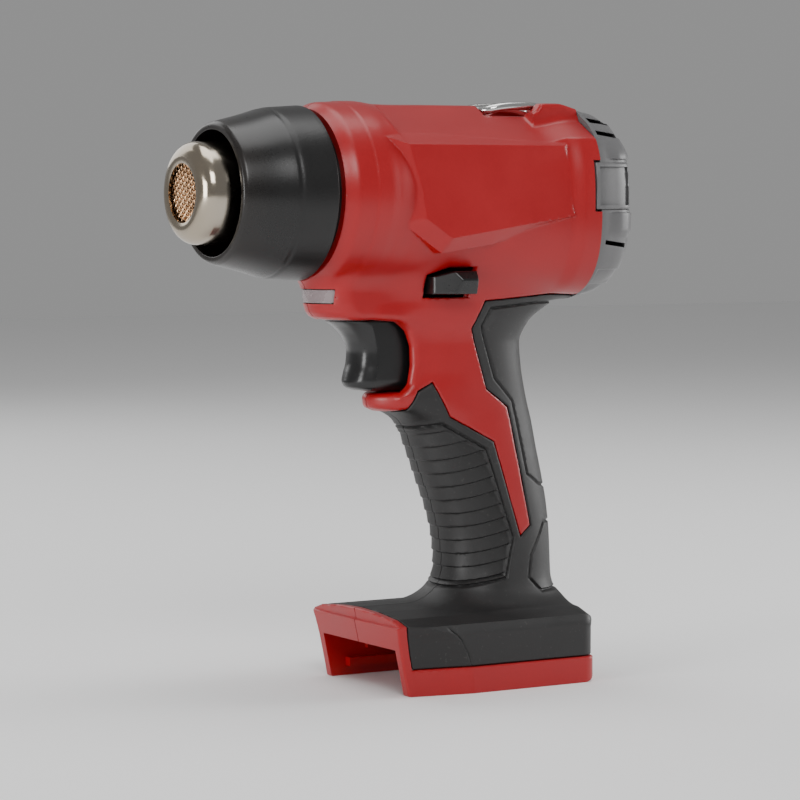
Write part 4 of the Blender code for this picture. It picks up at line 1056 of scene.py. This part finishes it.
plated_wire = finish_of("plated_wire", (0.70, 0.70, 0.69), 0.20, metallic=1.0, grain=0.08, mottle=0.04)
hook_points, hook_triangles = along_path(hook_smooth, HOOK_RADIUS)
hook = mesh_piece("hanging_hook", hook_points, hook_triangles, plated_wire, 60)
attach(hook, "hook")
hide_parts("hang_hook")


# ---------------------------------------------------------------- housing screws
# Black-oxide pan-head machine screws with hexagon sockets, sunk in wells on the right-hand side.
SCREW_HEAD_OUT, SCREW_HEAD_IN, SCREW_POINT = 8.5, 6.3, -9.0
SOCKET_HALF, SOCKET_DEPTH = 1.15, 1.3
SCREW_SHAPE = (
    (SCREW_POINT, 0.0), (SCREW_POINT, 0.9), (SCREW_POINT + 0.6, 1.35), (SCREW_HEAD_IN, 1.35),
    (SCREW_HEAD_IN, 2.5), (SCREW_HEAD_IN + 0.3, 2.6), (SCREW_HEAD_OUT - 0.7, 2.6),
    (SCREW_HEAD_OUT - 0.2, 2.2), (SCREW_HEAD_OUT, 1.5),
)


def screw(place_x, place_z, sides=36):
    """A screw along Y: a lathe profile, then a six-sided socket whose rim joins the round by rings."""
    angle = np.linspace(0, 2 * np.pi, sides, endpoint=False)
    six = SOCKET_HALF / np.cos((angle + np.pi / 6) % (np.pi / 3) - np.pi / 6)
    rings = [(y, np.full(sides, max(r, 1e-3))) for y, r in SCREW_SHAPE]
    rings += [(SCREW_HEAD_OUT, six), (SCREW_HEAD_OUT - SOCKET_DEPTH, six)]
    points = [
        np.stack([place_x + r * np.cos(angle), np.full(sides, y), place_z + r * np.sin(angle)], 1)
        for y, r in rings
    ]
    ends = [(place_x, y, place_z) for y in (SCREW_POINT, SCREW_HEAD_OUT - SOCKET_DEPTH - 0.2)]
    points = np.concatenate(points + [ends])
    return points, outward(points, capped_tube(len(rings), sides))


oxide = finish_of("black_oxide", (0.03, 0.03, 0.032), 0.34, metallic=0.9, grain=0.15, mottle=0.15)
for number, (place_x, place_z) in enumerate(SCREW_PLACES, 1):
    screw_points, screw_faces = screw(place_x, place_z)
    screw_piece = mesh_piece(f"screw_{number}", screw_points, screw_faces, oxide, 35)
    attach(screw_piece, "housing")
    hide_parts(f"housing_screw_{number}")


# ---------------------------------------------------------------- parts inside the shells
# The heater, the fan, the motor, the switch, the boards, the battery terminals and the leads. Little
# of them is seen, through the outlet, the slots and the slideway, so the frame's own parts are kept.
def finished(nodes, finish):
    """Gives frame nodes a finish, in place of what they came with."""
    for node in nodes:
        data = frame["nodes"][node].data
        data.materials.clear()
        data.materials.append(finish)


def coiled(place, colour, roughness, height):
    """Lacquered windings: a fine stripe across the lacquer's drift."""
    stripe = place.noise(2600.0, 0.0).ramp(0.45, 0.55)
    return (stripe * 0.4).blend(colour, (0.20, 0.07, 0.02, 1)), roughness, height + stripe


moulded_black = finish_of("moulded_black", (0.014, 0.014, 0.014), 0.42, grain=0.3, mottle=0.12)
moulded = ("fan_duct", "impeller", "motor_mount", "motor_end_cover", "switch_body", "terminal_block")
finished(moulded, moulded_black)
plated = ("motor_can", "motor_shaft", "thermal_cutout", "trigger_spring", "bearing_front", "bearing_rear")
finished(plated, plated_wire)
resistance_wire = finish_of("resistance_wire", (0.30, 0.27, 0.25), 0.45, metallic=1.0, mottle=0.2)
finished(("heating_coil",), resistance_wire)
mica = finish_of("mica", (0.42, 0.35, 0.24), 0.38, grain=0.3, mottle=0.2, coat=0.2)
finished(("heater_former", "mica_sleeve"), mica)
ceramic = finish_of("ceramic", (0.62, 0.59, 0.53), 0.55, grain=0.3, mottle=0.06)
finished(("heater_flange",), ceramic)
ferrite = finish_of("ferrite", (0.05, 0.05, 0.055), 0.6, grain=0.4, mottle=0.15)
finished(("magnet_upper", "magnet_lower"), ferrite)
windings = finish_of("windings", (0.45, 0.16, 0.05), 0.3, metallic=0.6, mottle=0.2, extra=coiled)
finished(("armature",), windings)
brass = finish_of("brass", (0.62, 0.45, 0.20), 0.28, metallic=1.0, grain=0.08, mottle=0.08)
finished(["commutator"] + [f"terminal_blade_{number}" for number in range(1, 5)], brass)
finished(("intake_screen",), oxide)
circuit_board = finish_of(
    "circuit_board", (0.01, 0.10, 0.035), 0.36, grain=0.2, mottle=0.1, coat=0.3
)
finished(("led_board", "control_board"), circuit_board)
red_lead = finish_of("red_lead", (0.42, 0.01, 0.01), 0.45, grain=0.1, mottle=0.06)
black_lead = finish_of("black_lead", (0.015, 0.015, 0.015), 0.45, grain=0.1, mottle=0.1)
finished(("battery_lead_positive", "heater_lead_positive", "motor_lead_positive"), red_lead)
finished(("battery_lead_negative", "heater_lead_negative", "motor_lead_negative"), black_lead)


# ---------------------------------------------------------------- floor
# A plain pale table top, matt, reaching three metres each way, so that its edge is out of sight.
# The tool stands on it on its foot.
FLOOR_REACH, FLOOR_WHITE = 3.0, (0.92, 0.92, 0.92, 1)
floor_corners = [(FLOOR_REACH * a, FLOOR_REACH * b, 0) for a, b in ((-1, -1), (1, -1), (1, 1), (-1, 1))]
floor_mesh = bpy.data.meshes.new("floor")
floor_mesh.from_pydata(floor_corners, [], [(0, 1, 2, 3)])
floor = bpy.data.objects.new("floor", floor_mesh)
bpy.context.scene.collection.objects.link(floor)
floor_white = bpy.data.materials.new("floor_white")
floor_white.use_nodes = True
floor_shader = floor_white.node_tree.nodes["Principled BSDF"]
floor_shader.inputs["Base Color"].default_value = FLOOR_WHITE
floor_shader.inputs["Roughness"].default_value = 0.9
floor_mesh.materials.append(floor_white)
